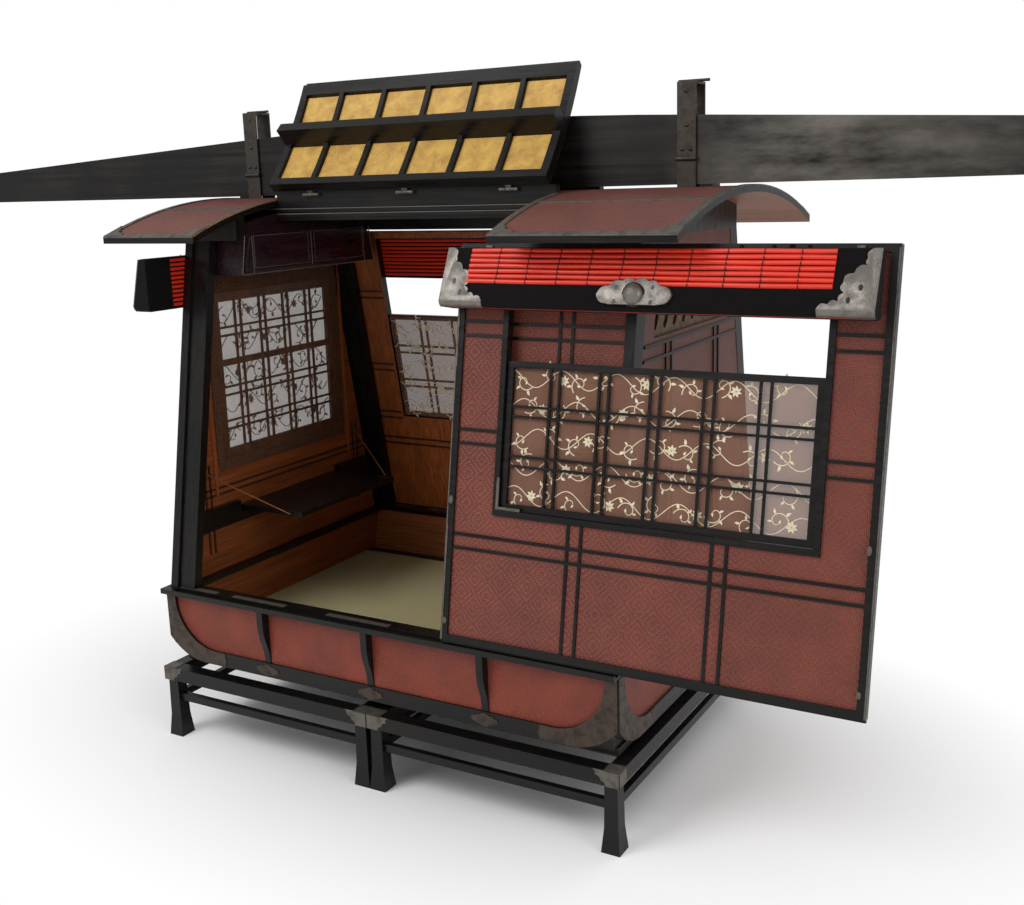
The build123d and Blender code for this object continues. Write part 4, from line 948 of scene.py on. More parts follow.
@dataclass
class Rig:
    """Stands, pole, hangers, saddles and the hooks of the end blind."""

    def dress(self, painter: Painter) -> None:
        """Dress the carrying and standing parts.

        Args:
            painter: Painter of the CAD nodes.
        """
        painter.plain(("stand_left", "stand_right"), "black_lacquer")
        painter.plain(("pole",), "pole_lacquer")
        painter.plain(("pole_saddles",), "black_lacquer")
        painter.plain(("hanger_left", "hanger_right"), "hanger_metal")
        painter.plain(("end_blind_hooks",), "fitting_metal")


@dataclass
class Interior:
    """Cabinet, shelf and their small parts."""

    def dress(self, painter: Painter) -> None:
        """Dress the fittings inside the cabin.

        Args:
            painter: Painter of the CAD nodes.
        """
        painter.plain(("cabinet", "cabinet_door_near", "cabinet_door_far"), "plum_lacquer")
        painter.plain(("shelf_rail", "drop_shelf"), "black_lacquer")
        painter.plain(("shelf_cords",), "cord_cloth")


@dataclass(frozen=True)
class Place:
    """A local frame in millimetres: u along a piece, v up it and w out of it."""

    start: float
    far: bool = False
    depth: float = 5.0
    foot: float = 2.03
    end: bool = False

    def world(self, points: np.ndarray) -> np.ndarray:
        """World points in metres.

        Args:
            points: Rows of u, v and w.

        Returns:
            Rows of x, y and z. On a wall, y = -412 + v sin lean - w cos lean and
            z = 373 + v cos lean + w sin lean, with y mirrored on the far one. On the
            left end, x = start - w, y = -u and z = v.
        """
        u, v, w = points[:, 0], points[:, 1], points[:, 2]
        if self.end:
            return np.stack([self.start - w, -u, v], axis=1) * MM
        v = v + self.foot
        w = w + self.depth
        y = -HALF_WALL_WIDTH + v * math.sin(LEAN) - w * math.cos(LEAN)
        z = SILL_TOP + v * math.cos(LEAN) + w * math.sin(LEAN)
        return np.stack([self.start + u, -y if self.far else y, z], axis=1) * MM


class Form:
    """One mesh piece, gathered from numpy surfaces in a local frame."""

    def __init__(self, name: str, place: Optional[Place] = None) -> None:
        """Start an empty piece.

        Args:
            name: Name of the piece.
            place: Local frame, or none for plain world millimetres.
        """
        self.name = name
        self.place = place
        self.points: list[np.ndarray] = []
        self.faces: list[list[int]] = []
        self.marks: list[int] = []
        self.count = 0

    def add(self, points: np.ndarray, faces: list, mark: int) -> None:
        """Append points and faces that carry one material mark.

        Args:
            points: Rows of coordinates.
            faces: Lists of indices into those points.
            mark: Index of the material.
        """
        self.points.append(points)
        self.faces += [[i + self.count for i in f] for f in faces]
        self.marks += [mark] * len(faces)
        self.count += len(points)

    def skin(self, rings: np.ndarray, mark: int = 0) -> "Form":
        """Closed skin over a row of rings, with both ends capped.

        Args:
            rings: Array of ring, point and coordinate.
            mark: Index of the material.

        Returns:
            The same form.
        """
        n, m = rings.shape[:2]
        index = np.arange(n * m).reshape(n, m)
        turn = np.roll(index, -1, axis=1)
        quads = np.stack([index[:-1], turn[:-1], turn[1:], index[1:]], axis=-1).reshape(-1, 4)
        faces = quads.tolist() + [index[0][::-1].tolist(), index[-1].tolist()]
        self.add(rings.reshape(-1, 3), faces, mark)
        return self

    def tube(self, path: np.ndarray, radius: float, sides: int = 8, mark: int = 0) -> "Form":
        """Round tube along a path: each ring is a circle across the path's direction.

        Args:
            path: Rows of coordinates.
            radius: Tube's radius.
            sides: Points on each ring.
            mark: Index of the material.

        Returns:
            The same form.
        """
        along = np.gradient(path, axis=0)
        along /= np.linalg.norm(along, axis=1, keepdims=True)
        help_axis = np.where(np.abs(along[:, 2:3]) > 0.8, [[1.0, 0.0, 0.0]], [[0.0, 0.0, 1.0]])
        side = np.cross(along, help_axis)
        side /= np.linalg.norm(side, axis=1, keepdims=True)
        over = np.cross(side, along)
        angle = np.linspace(0, 2 * math.pi, sides, endpoint=False)
        rings = path[:, None] + radius * (
            np.cos(angle)[None, :, None] * side[:, None] + np.sin(angle)[None, :, None] * over[:, None]
        )
        return self.skin(rings, mark)

    def slab(self, outline: np.ndarray, low: float, high: float, mark: int = 0, soft: float = 0.0) -> "Form":
        """Flat plate over an outline of u and v, between two depths.

        Args:
            outline: Rows of u and v.
            low: Lower w.
            high: Upper w.
            mark: Index of the material.
            soft: How far the upper edge is drawn in.

        Returns:
            The same form.
        """
        centre = outline.mean(axis=0)
        shrink = 1 - soft / max(1.0, float(np.abs(outline - centre).max()))
        rings = [
            np.column_stack([outline, np.full(len(outline), low)]),
            np.column_stack([outline, np.full(len(outline), high - soft)]),
            np.column_stack([centre + (outline - centre) * shrink, np.full(len(outline), high)]),
        ]
        return self.skin(np.array(rings), mark)

    def block(self, low: Sequence[float], high: Sequence[float], mark: int = 0) -> "Form":
        """Box between two corners.

        Args:
            low: Lowest u, v and w.
            high: Highest u, v and w.
            mark: Index of the material.

        Returns:
            The same form.
        """
        u, v = (low[0], high[0]), (low[1], high[1])
        outline = np.array([(u[0], v[0]), (u[1], v[0]), (u[1], v[1]), (u[0], v[1])], float)
        return self.slab(outline, low[2], high[2], mark)

    def dome(self, centre: Sequence[float], radius: float, height: float, mark: int = 0) -> "Form":
        """Low dome: rings of radius r cos a at height h sin a.

        Args:
            centre: Middle of its foot.
            radius: Radius of its foot.
            height: Its height.
            mark: Index of the material.

        Returns:
            The same form.
        """
        angle = np.linspace(0, 0.98 * math.pi / 2, 7)
        turn = np.linspace(0, 2 * math.pi, 24, endpoint=False)
        rings = np.stack(
            [
                centre[0] + radius * np.cos(angle)[:, None] * np.cos(turn),
                centre[1] + radius * np.cos(angle)[:, None] * np.sin(turn),
                centre[2] + height * np.sin(angle)[:, None] * np.ones(24),
            ],
            axis=-1,
        )
        return self.skin(rings, mark)

    def ribbon(self, path: np.ndarray, width: np.ndarray, low: float, high: float, mark: int = 0) -> "Form":
        """Flat ribbon along a path of u and v.

        Args:
            path: Rows of u and v.
            width: Half width at each point.
            low: Lower w.
            high: Upper w.
            mark: Index of the material.

        Returns:
            The same form.
        """
        along = np.gradient(path, axis=0)
        along /= np.linalg.norm(along, axis=1, keepdims=True) + 1e-9
        side = np.stack([-along[:, 1], along[:, 0]], axis=1) * width[:, None]
        level = np.ones(len(path))
        rings = np.stack(
            [
                np.column_stack([path - side, low * level]),
                np.column_stack([path + side, low * level]),
                np.column_stack([path + side, high * level]),
                np.column_stack([path - side, high * level]),
            ],
            axis=1,
        )
        return self.skin(rings, mark)

    def build(
        self, body: str, materials: Sequence[bpy.types.Material], smooth: bool = False
    ) -> bpy.types.Object:
        """Make the object, turn its faces outwards and let it ride on a body.

        Args:
            body: CAD body that carries it.
            materials: One material for each mark.
            smooth: Whether faces are shaded smooth below 40 degrees.

        Returns:
            The new object.
        """
        points = np.concatenate(self.points)
        world = self.place.world(points) if self.place else points * MM
        mesh = bpy.data.meshes.new(self.name)
        mesh.from_pydata(world.tolist(), [], self.faces)
        for material in materials:
            mesh.materials.append(material)
        mesh.polygons.foreach_set("material_index", np.array(self.marks, dtype=np.int32))
        made = bmesh.new()
        made.from_mesh(mesh)
        bmesh.ops.recalc_face_normals(made, faces=made.faces)
        made.to_mesh(mesh)
        made.free()
        if smooth:
            mesh.polygons.foreach_set("use_smooth", np.ones(len(mesh.polygons), dtype=bool))
            mesh.set_sharp_from_angle(angle=math.radians(40))
        mesh.update()
        piece = bpy.data.objects.new(self.name, mesh)
        bpy.context.scene.collection.objects.link(piece)
        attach(piece, body)
        return piece


def lobed(nodes: Sequence[tuple], swell: float = 0.32, steps: int = 7) -> np.ndarray:
    """Cloud-edged outline: each side longer than its flag bulges by a half sine.

    Args:
        nodes: Rows of u, v and 1 where the side that starts there bulges, else 0.
        swell: Height of a bulge as a share of its side.
        steps: Points on each bulging side.

    Returns:
        Rows of u and v.
    """
    table = np.array(nodes, float)
    start = table[:, :2]
    side = np.roll(start, -1, axis=0) - start
    share = np.linspace(0, 1, steps, endpoint=False)
    normal = np.stack([side[:, 1], -side[:, 0]], axis=1)
    bulge = np.sin(math.pi * share)[None, :, None] * normal[:, None] * swell * table[:, 2][:, None, None]
    curve = start[:, None] + side[:, None] * share[None, :, None] + bulge
    keep = np.ones(curve.shape[:2], bool)
    keep[table[:, 2] == 0, 1:] = False
    return curve[keep]


class BlindPart(Enum):
    """Material marks of a blind, in the order of its finishes."""

    WRAP = 0
    RODS = 1
    PLATES = 2
    THREADS = 3
    PIERCINGS = 4


@dataclass
class Blind:
    """Rolled blind on a wall: velvet wrap, red rods with threads, pierced plates and a boss."""

    name: str
    node: str
    body: str
    place: Place
    length: float = 848.0
    overhang: float = 12.0
    bottom: float = 676.2
    back: float = 24.0
    height: float = 120.0
    deep: float = 50.0
    shallow: float = 22.0
    lower_round: float = 14.0
    upper_round: float = 5.0
    skin_gap: float = 0.6
    rods: int = 7
    rod_radius: float = 4.7
    rod_sunk: float = 0.8
    rod_pitch: float = 10.2
    rod_low: float = 52.0
    back_rod_radius: float = 4.3
    margin: float = 56.0
    far_margin: float = 74.0
    threads: int = 10
    thread_radius: float = 1.1
    plate_lift: float = 1.3
    plate_low: float = 13.0
    plate_reach: float = 97.0
    boss_level: float = 31.0
    boss_shift: float = -6.0
    corner_nodes: tuple = (
        (0, 119, 0), (13, 119, 1), (22, 103, 1), (17, 88, 1), (42, 76, 1), (58, 60, 1),
        (54, 42, 1), (62, 26, 1), (80, 21, 1), (98, 12, 0), (98, 1, 0), (0, 1, 0),
    )
    centre_nodes: tuple = (
        (-74, 0, 1), (-50, 17, 1), (-26, 26, 1), (0, 27, 1), (26, 26, 1), (50, 17, 1),
        (74, 0, 1), (50, -17, 1), (26, -25, 1), (0, -26, 1), (-26, -25, 1), (-50, -17, 1),
    )

    @property
    def start(self) -> float:
        """Place of the blind's left end along u."""
        return -self.length / 2 if self.place.end else -self.overhang

    def front(self, v: np.ndarray) -> np.ndarray:
        """Depth of the front at a height above the blind's bottom.

        Args:
            v: Heights.

        Returns:
            Depths: a straight slope, less r - sqrt(r^2 - (r - v)^2) on the lower
            rounding of radius r.
        """
        r = self.lower_round
        share = np.clip((v - r) / (self.height - self.upper_round - r), 0.0, 1.0)
        fall = np.clip(r - v, 0.0, r)
        slope = self.back + self.deep + (self.shallow - self.deep) * share
        return slope - r + np.sqrt(r ** 2 - fall ** 2) + self.skin_gap

    def wrap(self, form: Form) -> None:
        """Velvet wrap: a profile with rounded edges swept along u, with both ends drawn in.

        Args:
            form: Form that takes it.
        """
        arc = np.linspace(0, math.pi / 2, 7)
        r, s = self.lower_round, self.upper_round
        low = np.stack([self.back + self.deep - r + r * np.sin(arc), r - r * np.cos(arc)], axis=1)
        top_w = self.back + self.shallow - s + s * np.cos(arc)
        top = np.stack([top_w, self.height - s + s * np.sin(arc)], axis=1)
        back = np.array([(self.back, self.height), (self.back, 0.0)])
        profile = np.concatenate([low, top, back])
        inner = np.linspace(20, self.length - 20, 24)
        us = np.array([0.0, 4.0, *inner, self.length - 4.0, self.length])
        draw = np.array([3.0, 0.0, *np.zeros(len(inner)), 0.0, 3.0])
        centre = profile.mean(axis=0)
        ring = centre + (profile[None] - centre) * (1 - draw[:, None, None] / 40)
        sag = 0.5 * np.sin(us / 61.0)[:, None]
        along = np.repeat((self.start + us)[:, None], len(profile), axis=1)
        rings = np.stack([along, self.bottom + ring[..., 1], ring[..., 0] + sag], axis=-1)
        form.skin(rings, BlindPart.WRAP.value)

    def bundle(self, form: Form) -> None:
        """Rods on the front and the back, threads over the front ones, and the red piping.

        A thread's depth follows the rods by |cos| of the height over the rods' pitch.

        Args:
            form: Form that takes them.
        """
        low, high = self.start + self.margin, self.start + self.length - self.far_margin
        us = np.linspace(low, high, 30)
        level = np.ones(len(us))
        for index in range(self.rods):
            v = self.rod_low + index * self.rod_pitch
            wave = 0.35 * np.sin(us / 37.0 + index * 1.7)
            depth = (self.front(np.array(v)) - self.rod_sunk) * level
            path = np.column_stack([us, self.bottom + v + wave, depth])
            form.tube(path, self.rod_radius, 10, BlindPart.RODS.value)
        for v in np.arange(10.0, self.height - 4, self.rod_pitch):
            path = np.column_stack([us, (self.bottom + v) * level, (self.back + 2.0) * level])
            form.tube(path, self.back_rod_radius, 8, BlindPart.RODS.value)
        v = np.linspace(self.rod_low - 6, self.rod_low + self.rods * self.rod_pitch - 3, 56)
        hump = np.abs(np.cos(math.pi * (v - self.rod_low) / self.rod_pitch)) ** 0.6 * self.rod_radius
        for index in range(self.threads):
            u = low + (high - low) * (index + 1.0) / (self.threads + 0.9)
            sway = 0.6 * np.sin(v / 9 + index)
            path = np.column_stack([u + sway, self.bottom + v, self.front(v) + hump - 0.9])
            form.tube(path, self.thread_radius, 6, BlindPart.THREADS.value)
        edge = np.linspace(self.start + 4, self.start + self.length - 4, 20)
        under = np.full(20, self.bottom + 1.2)
        depth = np.full(20, self.back + self.deep - 13)
        form.tube(np.column_stack([edge, under, depth]), 1.5, 6, BlindPart.RODS.value)

    def plate(self, form: Form, outline: np.ndarray, part: BlindPart, lift: float) -> None:
        """Thin plate on the sloping front: each point of its outline takes the front's depth.

        Args:
            form: Form that takes it.
            outline: Rows of u and of v above the blind's bottom.
            part: What the plate is.
            lift: Height of the plate over the front.
        """
        v = np.maximum(outline[:, 1], self.plate_low)
        ring = np.column_stack([outline[:, 0], self.bottom + v, self.front(v)])
        centre = ring.mean(axis=0)
        top = ring + (0, 0, lift)
        inner = centre + (top - centre) * 0.97 + (0, 0, 0.5)
        form.skin(np.array([ring - (0, 0, 1.0), top, inner]), part.value)

    def curled(self, form: Form, u: Sequence[float]) -> None:
        """Strip of a plate bent round the lower edge: thin rings that follow the rounding.

        Args:
            form: Form that takes it.
            u: Both ends of the strip.
        """
        vs = np.linspace(0.6, 15.0, 9)
        w = self.front(vs)
        under, over, lower = -0.8, self.plate_lift, 0.4
        sides = ((u[0], under, 0.0), (u[1], under, 0.0), (u[1], over, lower), (u[0], over, lower))
        rings = []
        for place, lift, fall in sides:
            rings.append(np.column_stack([np.full(9, place), self.bottom + vs - fall, w + lift]))
        form.skin(np.stack(rings, axis=1), BlindPart.PLATES.value)

    def piercing(self, form: Form, centre: Sequence[float], size: Sequence[float], lift: float) -> None:
        """Dark drop-shaped piercing, drawn as a thin oval inlay.

        Args:
            form: Form that takes it.
            centre: Its u and v.
            size: Its half width and half height.
            lift: Height over the front.
        """
        turn = np.linspace(0, 2 * math.pi, 12, endpoint=False)
        oval = np.stack([centre[0] + size[0] * np.cos(turn), centre[1] + size[1] * np.sin(turn)], axis=1)
        self.plate(form, oval, BlindPart.PIERCINGS, lift)

    def corners(self, form: Form) -> None:
        """Corner plates: a tall finger that widens in lobes, with two piercings each.

        Args:
            form: Form that takes them.
        """
        outline = lobed(self.corner_nodes, -0.3)
        for mirror, end in ((1.0, self.start - 0.5), (-1.0, self.start + self.length + 0.5)):
            placed = np.stack([end + mirror * outline[:, 0], outline[:, 1]], axis=1)
            self.plate(form, placed, BlindPart.PLATES, self.plate_lift)
            self.curled(form, sorted((end, end + mirror * self.plate_reach)))
            for du, dv in ((28.0, 52.0), (46.0, 30.0)):
                self.piercing(form, (end + mirror * du, dv), (3.6, 5.5), self.plate_lift + 0.8)

    def boss(self, form: Form) -> None:
        """Centre plate with four piercings, a dark ring and a dome.

        Args:
            form: Form that takes them.
        """
        middle = self.start + self.length / 2 + self.boss_shift
        outline = lobed(self.centre_nodes, -0.2) + (middle, self.boss_level)
        self.plate(form, outline, BlindPart.PLATES, 6.6)
        for du in (-36.0, 36.0):
            for dv in (-13.0, 14.0):
                self.piercing(form, (middle + du, self.boss_level + dv), (3.4, 4.4), 7.0)
        level = float(self.front(np.array(self.boss_level))) + 5.5
        height = self.bottom + self.boss_level
        form.dome((middle, height, level), 23.0, 3.5, BlindPart.PIERCINGS.value)
        form.dome((middle, height, level + 1.5), 19.5, 14.0, BlindPart.PLATES.value)

    def build(self, materials: dict) -> None:
        """Make the blind in place of its CAD node.

        Args:
            materials: Materials by name.
        """
        form = Form(self.name, self.place)
        self.wrap(form)
        self.bundle(form)
        self.corners(form)
        self.boss(form)
        names = ("velvet", "vermilion_rod", "plate_metal", "thread", "black_lacquer")
        piece = form.build(self.body, [materials[n] for n in names], smooth=True)
        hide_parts(self.node)


@dataclass
class VineGauze:
    """Stretched gauze with a printed vine scroll of stems, curls, leaves and flowers."""

    name: str
    node: str
    body: str
    place: Place
    rests: str
    u: tuple = (122.0, 746.0)
    v: tuple = (284.0, 574.0)
    w: tuple = (3.0, 4.0)
    pitch: float = 58.0
    rows: int = 5
    thread: str = "vine_cream"
    finish: str = "gauze"
    proud: float = 0.4
    petals: int = 7
    seed: int = 7

    def curl(self, form: Form, centre: np.ndarray, radius: float, start: float, sense: float) -> None:
        """One curl: a spiral of radius r (1 - 0.78 t^0.8), with leaves on its back and tip.

        Args:
            form: Form that takes it.
            centre: Its u and v.
            radius: Radius at its start.
            start: Angle at its start.
            sense: 1 for a turn to the left, -1 to the right.
        """
        t = np.linspace(0, 1, 26)
        angle = start + sense * t * 2.3 * math.pi * 0.72
        r = radius * (1 - 0.78 * t ** 0.8)
        path = centre + np.stack([r * np.cos(angle), r * np.sin(angle)], axis=1)
        form.ribbon(path, 0.95 - 0.35 * t, self.w[0] - self.proud, self.w[1] + self.proud)
        self.leaf(form, path[-1], angle[-1] + sense * 1.9, radius * 0.42, sense)
        for share in (0.12, 0.38, 0.62):
            at = int(share * 25)
            length = radius * (0.62 - 0.3 * share)
            self.leaf(form, path[at], angle[at] + sense * 0.6, length, -sense)

    def leaf(self, form: Form, at: np.ndarray, angle: float, length: float, bend: float) -> None:
        """One leaf: a short arc whose width swells as a sine of t^0.7.

        Args:
            form: Form that takes it.
            at: Where it starts, as u and v.
            angle: Its direction there.
            length: Its length.
            bend: How far it bends, in radians.
        """
        t = np.linspace(0, 1, 9)
        turn = angle + bend * 0.9 * t
        path = at + np.cumsum(np.stack([np.cos(turn), np.sin(turn)], axis=1), axis=0) * length / 9
        width = 0.2 * length * np.sin(math.pi * t ** 0.7) + 0.3
        form.ribbon(path, width, self.w[0] - self.proud - 0.1, self.w[1] + self.proud + 0.1)

    def vine(self) -> Form:
        """Rows of a wavy stem, each with curls to both sides and a flower at every third.

        Returns:
            The vine's form.
        """
        vine = Form(f"{self.name}_vine", self.place)
        chance = np.random.default_rng(self.seed)
        row_pitch = (self.v[1] - self.v[0]) / self.rows
        count = int((self.u[1] - self.u[0]) / self.pitch)
        for row in range(self.rows):
            level = self.v[0] + (row + 0.5) * row_pitch
            us = np.linspace(self.u[0] + 3, self.u[1] - 3, 160)
            vs = level + row_pitch * 0.3 * np.sin(us / self.pitch * math.pi + row * 1.9)
            stem = np.column_stack([us, vs])
            vine.ribbon(stem, np.full(160, 0.8), self.w[0] - self.proud, self.w[1] + self.proud)
            for index in range(count):
                u = self.u[0] + (index + 0.6) * self.pitch + (row % 2) * 14
                if u > self.u[1] - 26 or u < self.u[0] + 24:
                    continue
                sense = 1.0 if (index + row) % 2 else -1.0
                centre = np.array([u + chance.uniform(-4, 4), level + sense * row_pitch * 0.12])
                self.curl(vine, centre, row_pitch * 0.36, chance.uniform(0, 6.28), sense)
                if (index * 2 + row) % 3 == 0:
                    bud = centre + (self.pitch * 0.45, -sense * row_pitch * 0.14)
                    for petal in range(self.petals):
                        self.leaf(vine, bud, 0.4 + petal * 0.9, 11.0, 0.5)
        return vine

    def build(self, materials: dict) -> None:
        """Stretch the gauze as a thin sheet in place of its CAD node, with the vine through it.

        Args:
            materials: Materials by name.
        """
        form = Form(self.name, self.place)
        form.block((self.u[0], self.v[0], self.w[0]), (self.u[1], self.v[1], self.w[1]))
        pattern = self.vine().build(self.body, [materials[self.thread]])
        piece = form.build(self.body, [materials[self.finish]])
        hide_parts(self.node)


@dataclass
class FloorMat:
    """Rush mat with dark cloth edges along both long sides."""

    border: float = 28.0
    edge_fall: float = 2.2
    wave: float = 0.5

    def build(self, materials: dict) -> None:
        """Mat as a low pillow in place of its CAD node.

        Its top falls towards the edges by 1 - |y|^16 and 1 - |x|^24 of the half sizes,
        and waves by sines of x and y.

        Args:
            materials: Materials by name.
        """
        low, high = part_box("tatami")
        x = np.linspace(low[0], high[0], 60) / MM
        y = np.linspace(low[1], high[1], 40) / MM
        foot, top = low[2] / MM, high[2] / MM
        gx, gy = np.meshgrid(x, y, indexing="ij")
        edge = 1 - np.abs((gy - y.mean()) / (y[-1] - y[0]) * 2) ** 16
        edge *= 1 - np.abs((gx - x.mean()) / (x[-1] - x[0]) * 2) ** 24
        wave = self.wave * (1 + np.sin(gx / 61) * np.sin(gy / 47)) * edge
        points = np.stack([gx, gy, top - self.edge_fall * (1 - edge) - wave], axis=-1).reshape(-1, 3)
        index = np.arange(points.shape[0]).reshape(gx.shape)
        corners = [index[:-1, :-1], index[1:, :-1], index[1:, 1:], index[:-1, 1:]]
        quads = np.stack(corners, axis=-1).reshape(-1, 4)
        rim = np.concatenate([index[:, 0], index[-1, 1:], index[-2::-1, -1], index[0, -2:0:-1]])
        base = points[rim].copy()
        base[:, 2] = foot
        ring = np.arange(len(points), len(points) + len(rim))
        walls = np.stack([rim, ring, np.roll(ring, -1), np.roll(rim, -1)], axis=-1)
        middle = points[quads, 1].mean(axis=1) - y.mean()
        cloth = np.abs(middle) > (y[-1] - y[0]) / 2 - self.border
        form = Form("floor_mat")
        form.add(np.concatenate([points, base]), quads.tolist() + walls.tolist() + [ring[::-1].tolist()], 0)
        form.marks = cloth.astype(int).tolist() + [1] * (len(walls) + 1)
        piece = form.build("cabin", [materials["mat"], materials["edge_cloth"]], smooth=True)
        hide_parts("tatami")


@dataclass
class DoorTrim:
    """Latches, worn stile strips and sash ties of a sliding door."""

    side: str
    place: Place
    face: float = 19.6
    foot: float = 2.0
    head: float = 800.0
    strip_width: float = 2.6
    strip_places: tuple = (0.4, 857.0)
    window_corner: tuple = ((118, 281, 168, 287), (113, 281, 119, 345))
    latch_half_width: float = 4.5
    latch_places: tuple = (9.0, 846.0)
    latches: tuple = ((290, 9, 23.0), (42, 7, 22.4))
    tie_places: tuple = (522.0, 585.0, 644.0, 676.0, 707.0)
    tie_level: float = 789.0
    tie_rise: float = 13.0
    thin_tie: float = 1.6
    thick_tie: float = 3.0

    def metal(self) -> Form:
        """Strips along both stiles, corner strips of the window and two pairs of latches.

        Returns:
            The metal's form.
        """
        form = Form(f"{self.side}_door_trim", self.place)
        for u in self.strip_places:
            form.block((u, self.foot, self.face), (u + self.strip_width, self.head, self.face + 1.2))
        for v0, v1 in ((self.foot, 240), (560, self.head)):
            form.block((1.0, v0, self.face + 1.0), (5.0, v1, self.face + 1.6))
        for left, low, right, high in self.window_corner:
            form.block((left, low, self.face), (right, high, self.face + 1.4))
        turn = np.linspace(0, 2 * math.pi, 16, endpoint=False)
        for u in self.latch_places:
            for v, half_height, top in self.latches:
                oval = [u + self.latch_half_width * np.cos(turn), v + half_height * np.sin(turn)]
                form.slab(np.stack(oval, axis=1), self.face + 0.2, top, soft=0.8)
        return form

    def build(self, materials: dict) -> None:
        """Add the metal, and ties that hang in a low arch over the head.

        Args:
            materials: Materials by name.
        """
        self.metal().build(f"{self.side}_door_leaf", [materials["fitting_metal"]], True)
        ties = Form(f"{self.side}_door_ties", self.place)
        t = np.linspace(0, 1, 14)
        sizes = [self.thin_tie] * 3 + [self.thick_tie, self.thin_tie]
        for u, radius in zip(self.tie_places, sizes):
            arch = self.tie_level + self.tie_rise * np.sin(t * math.pi)
            ties.tube(np.column_stack([u + 2 * np.sin(t * 6), arch, 17 + 12 * t]), radius)
        ties.build(f"{self.side}_door_leaf", [materials["velvet"]], True)


@dataclass
class InnerBattens:
    """Thin battens inside the far door, and battens and cloth bands on the left end wall."""

    levels: tuple = (999.0, 793.0, 653.0, 576.0)
    pair: tuple = (-11.0, 7.0)
    width: float = 4.5
    proud: float = 2.6
    sunk: float = 0.2
    uprights: tuple = (281.0, 298.0, 572.0, 589.0)
    upright_span: tuple = (6.0, 266.0)
    stiles: tuple = ((6.0, 112.0), (756.0, 854.0))
    window_low: float = 640.0
    wall_half: float = 370.0
    wall_levels: tuple = (560.0, 576.0)
    wall_proud: float = 3.0
    wall_uprights: tuple = (-303.0, -286.0, 281.0, 298.0)
    wall_upright_span: tuple = (420.0, 640.0)
    strip_side: float = 262.0
    strip_half: float = 4.0
    strip_span: tuple = (560.0, 1090.0)
    band_half: float = 246.0
    band_sides: tuple = (226.0, 250.0)
    band_levels: tuple = (618.0, 644.0, 1053.0, 1092.0)

    def door(self) -> Form:
        """Battens on the far door: pairs that the window's light interrupts.

        Returns:
            The door's form.
        """
        form = Form("far_door_battens", Place(-550.0, far=True))
        for z in self.levels:
            v = (z - SILL_TOP) / math.cos(LEAN) - form.place.foot
            whole = ((self.stiles[0][0], self.stiles[1][1]),)
            spans = self.stiles if z > self.window_low else whole
            for dv in self.pair:
                for low, high in spans:
                    form.block((low, v + dv, -self.proud), (high, v + dv + self.width, self.sunk))
        foot, head = self.upright_span
        for u in self.uprights:
            form.block((u, foot, -self.proud), (u + self.width, head, self.sunk))
        return form

    def wall(self) -> Form:
        """Battens, upright strips and the cloth bands round the end window.

        Returns:
            The wall's form.
        """
        form = Form("end_wall_battens", Place(-558.0, end=True))
        proud, sunk = -self.wall_proud, self.sunk
        for z in self.wall_levels:
            form.block((-self.wall_half, z, proud), (self.wall_half, z + self.width, sunk))
        low, high = self.wall_upright_span
        for u in self.wall_uprights:
            form.block((u, low, proud), (u + self.width, high, sunk))
        low, high = self.strip_span
        for sign in (-1, 1):
            u = sign * self.strip_side
            form.block((u - self.strip_half, low, proud - 0.4), (u + self.strip_half, high, sunk), 1)
        foot, sill, head, top = self.band_levels
        form.block((-self.band_half, head, proud - 0.8), (self.band_half, top, sunk), 2)
        form.block((-self.band_half, foot, proud - 0.2), (self.band_half, sill, sunk), 2)
        for sign in (-1, 1):
            low, high = sorted(sign * side for side in self.band_sides)
            form.block((low, sill, proud - 0.2), (high, head, sunk), 2)
        return form

    def build(self, materials: dict) -> None:
        """Add both sets.

        Args:
            materials: Materials by name.
        """
        self.door().build("far_door_leaf", [materials["batten"]])
        names = ("batten", "cedar_side", "band_cloth")
        self.wall().build("cabin", [materials[n] for n in names])


def vault_height(y: np.ndarray) -> np.ndarray:
    """Height of the roof's top: crown - R + sqrt(R^2 - y^2).

    Args:
        y: Distances from the middle.

    Returns:
        Heights.
    """
    return ROOF_CROWN - ROOF_RADIUS + np.sqrt(ROOF_RADIUS ** 2 - y ** 2)


@dataclass
class RoofTrim:
    """Gold lines along the roof's openings and metal corner plates on its borders."""

    ridge_side: float = 121.0
    eave_side: float = 400.0
    lines: tuple = (-427.0, 322.0)
    line_radius: float = 1.6
    plates: tuple = ((-705.0, 1.0), (705.0, -1.0), (-428.0, -1.0), (323.0, 1.0))
    plate_low: float = 0.5
    plate_thickness: float = 3.8
    nodes: tuple = ((0, 0, 0), (64, 0, 1), (50, 16, 1), (34, 18, 1), (24, 34, 1), (14, 46, 1), (0, 58, 0))

    def plate(self, form: Form, x0: float, sense: float, side: float) -> None:
        """Cloud-edged corner plate: an outline lifted onto the vault.

        Args:
            form: Form that takes it.
            x0: Place of its corner.
            sense: 1 or -1, the way that it reaches along x.
            side: -1 for near, 1 for far.
        """
        outline = lobed(self.nodes, -0.25)
        y = side * (self.eave_side + 1.0 - outline[:, 1])
        low = np.column_stack([x0 + sense * outline[:, 0], y, vault_height(y) + self.plate_low])
        form.skin(np.array([low, low + (0, 0, self.plate_thickness)]), 1)

    def build(self, materials: dict) -> None:
        """Lay the lines and plates over both wings.

        Args:
            materials: Materials by name.
        """
        form = Form("roof_trim")
        y = np.linspace(self.ridge_side, self.eave_side, 24)
        for side in (-1, 1):
            for x in self.lines:
                path = np.column_stack([np.full(24, x), side * y, vault_height(y) + 1.0])
                form.tube(path, self.line_radius, 6)
            for x0, sense in self.plates:
                self.plate(form, x0, sense, side)
        form.build("cabin", [materials["gilt_line"], materials["fitting_metal"]], True)


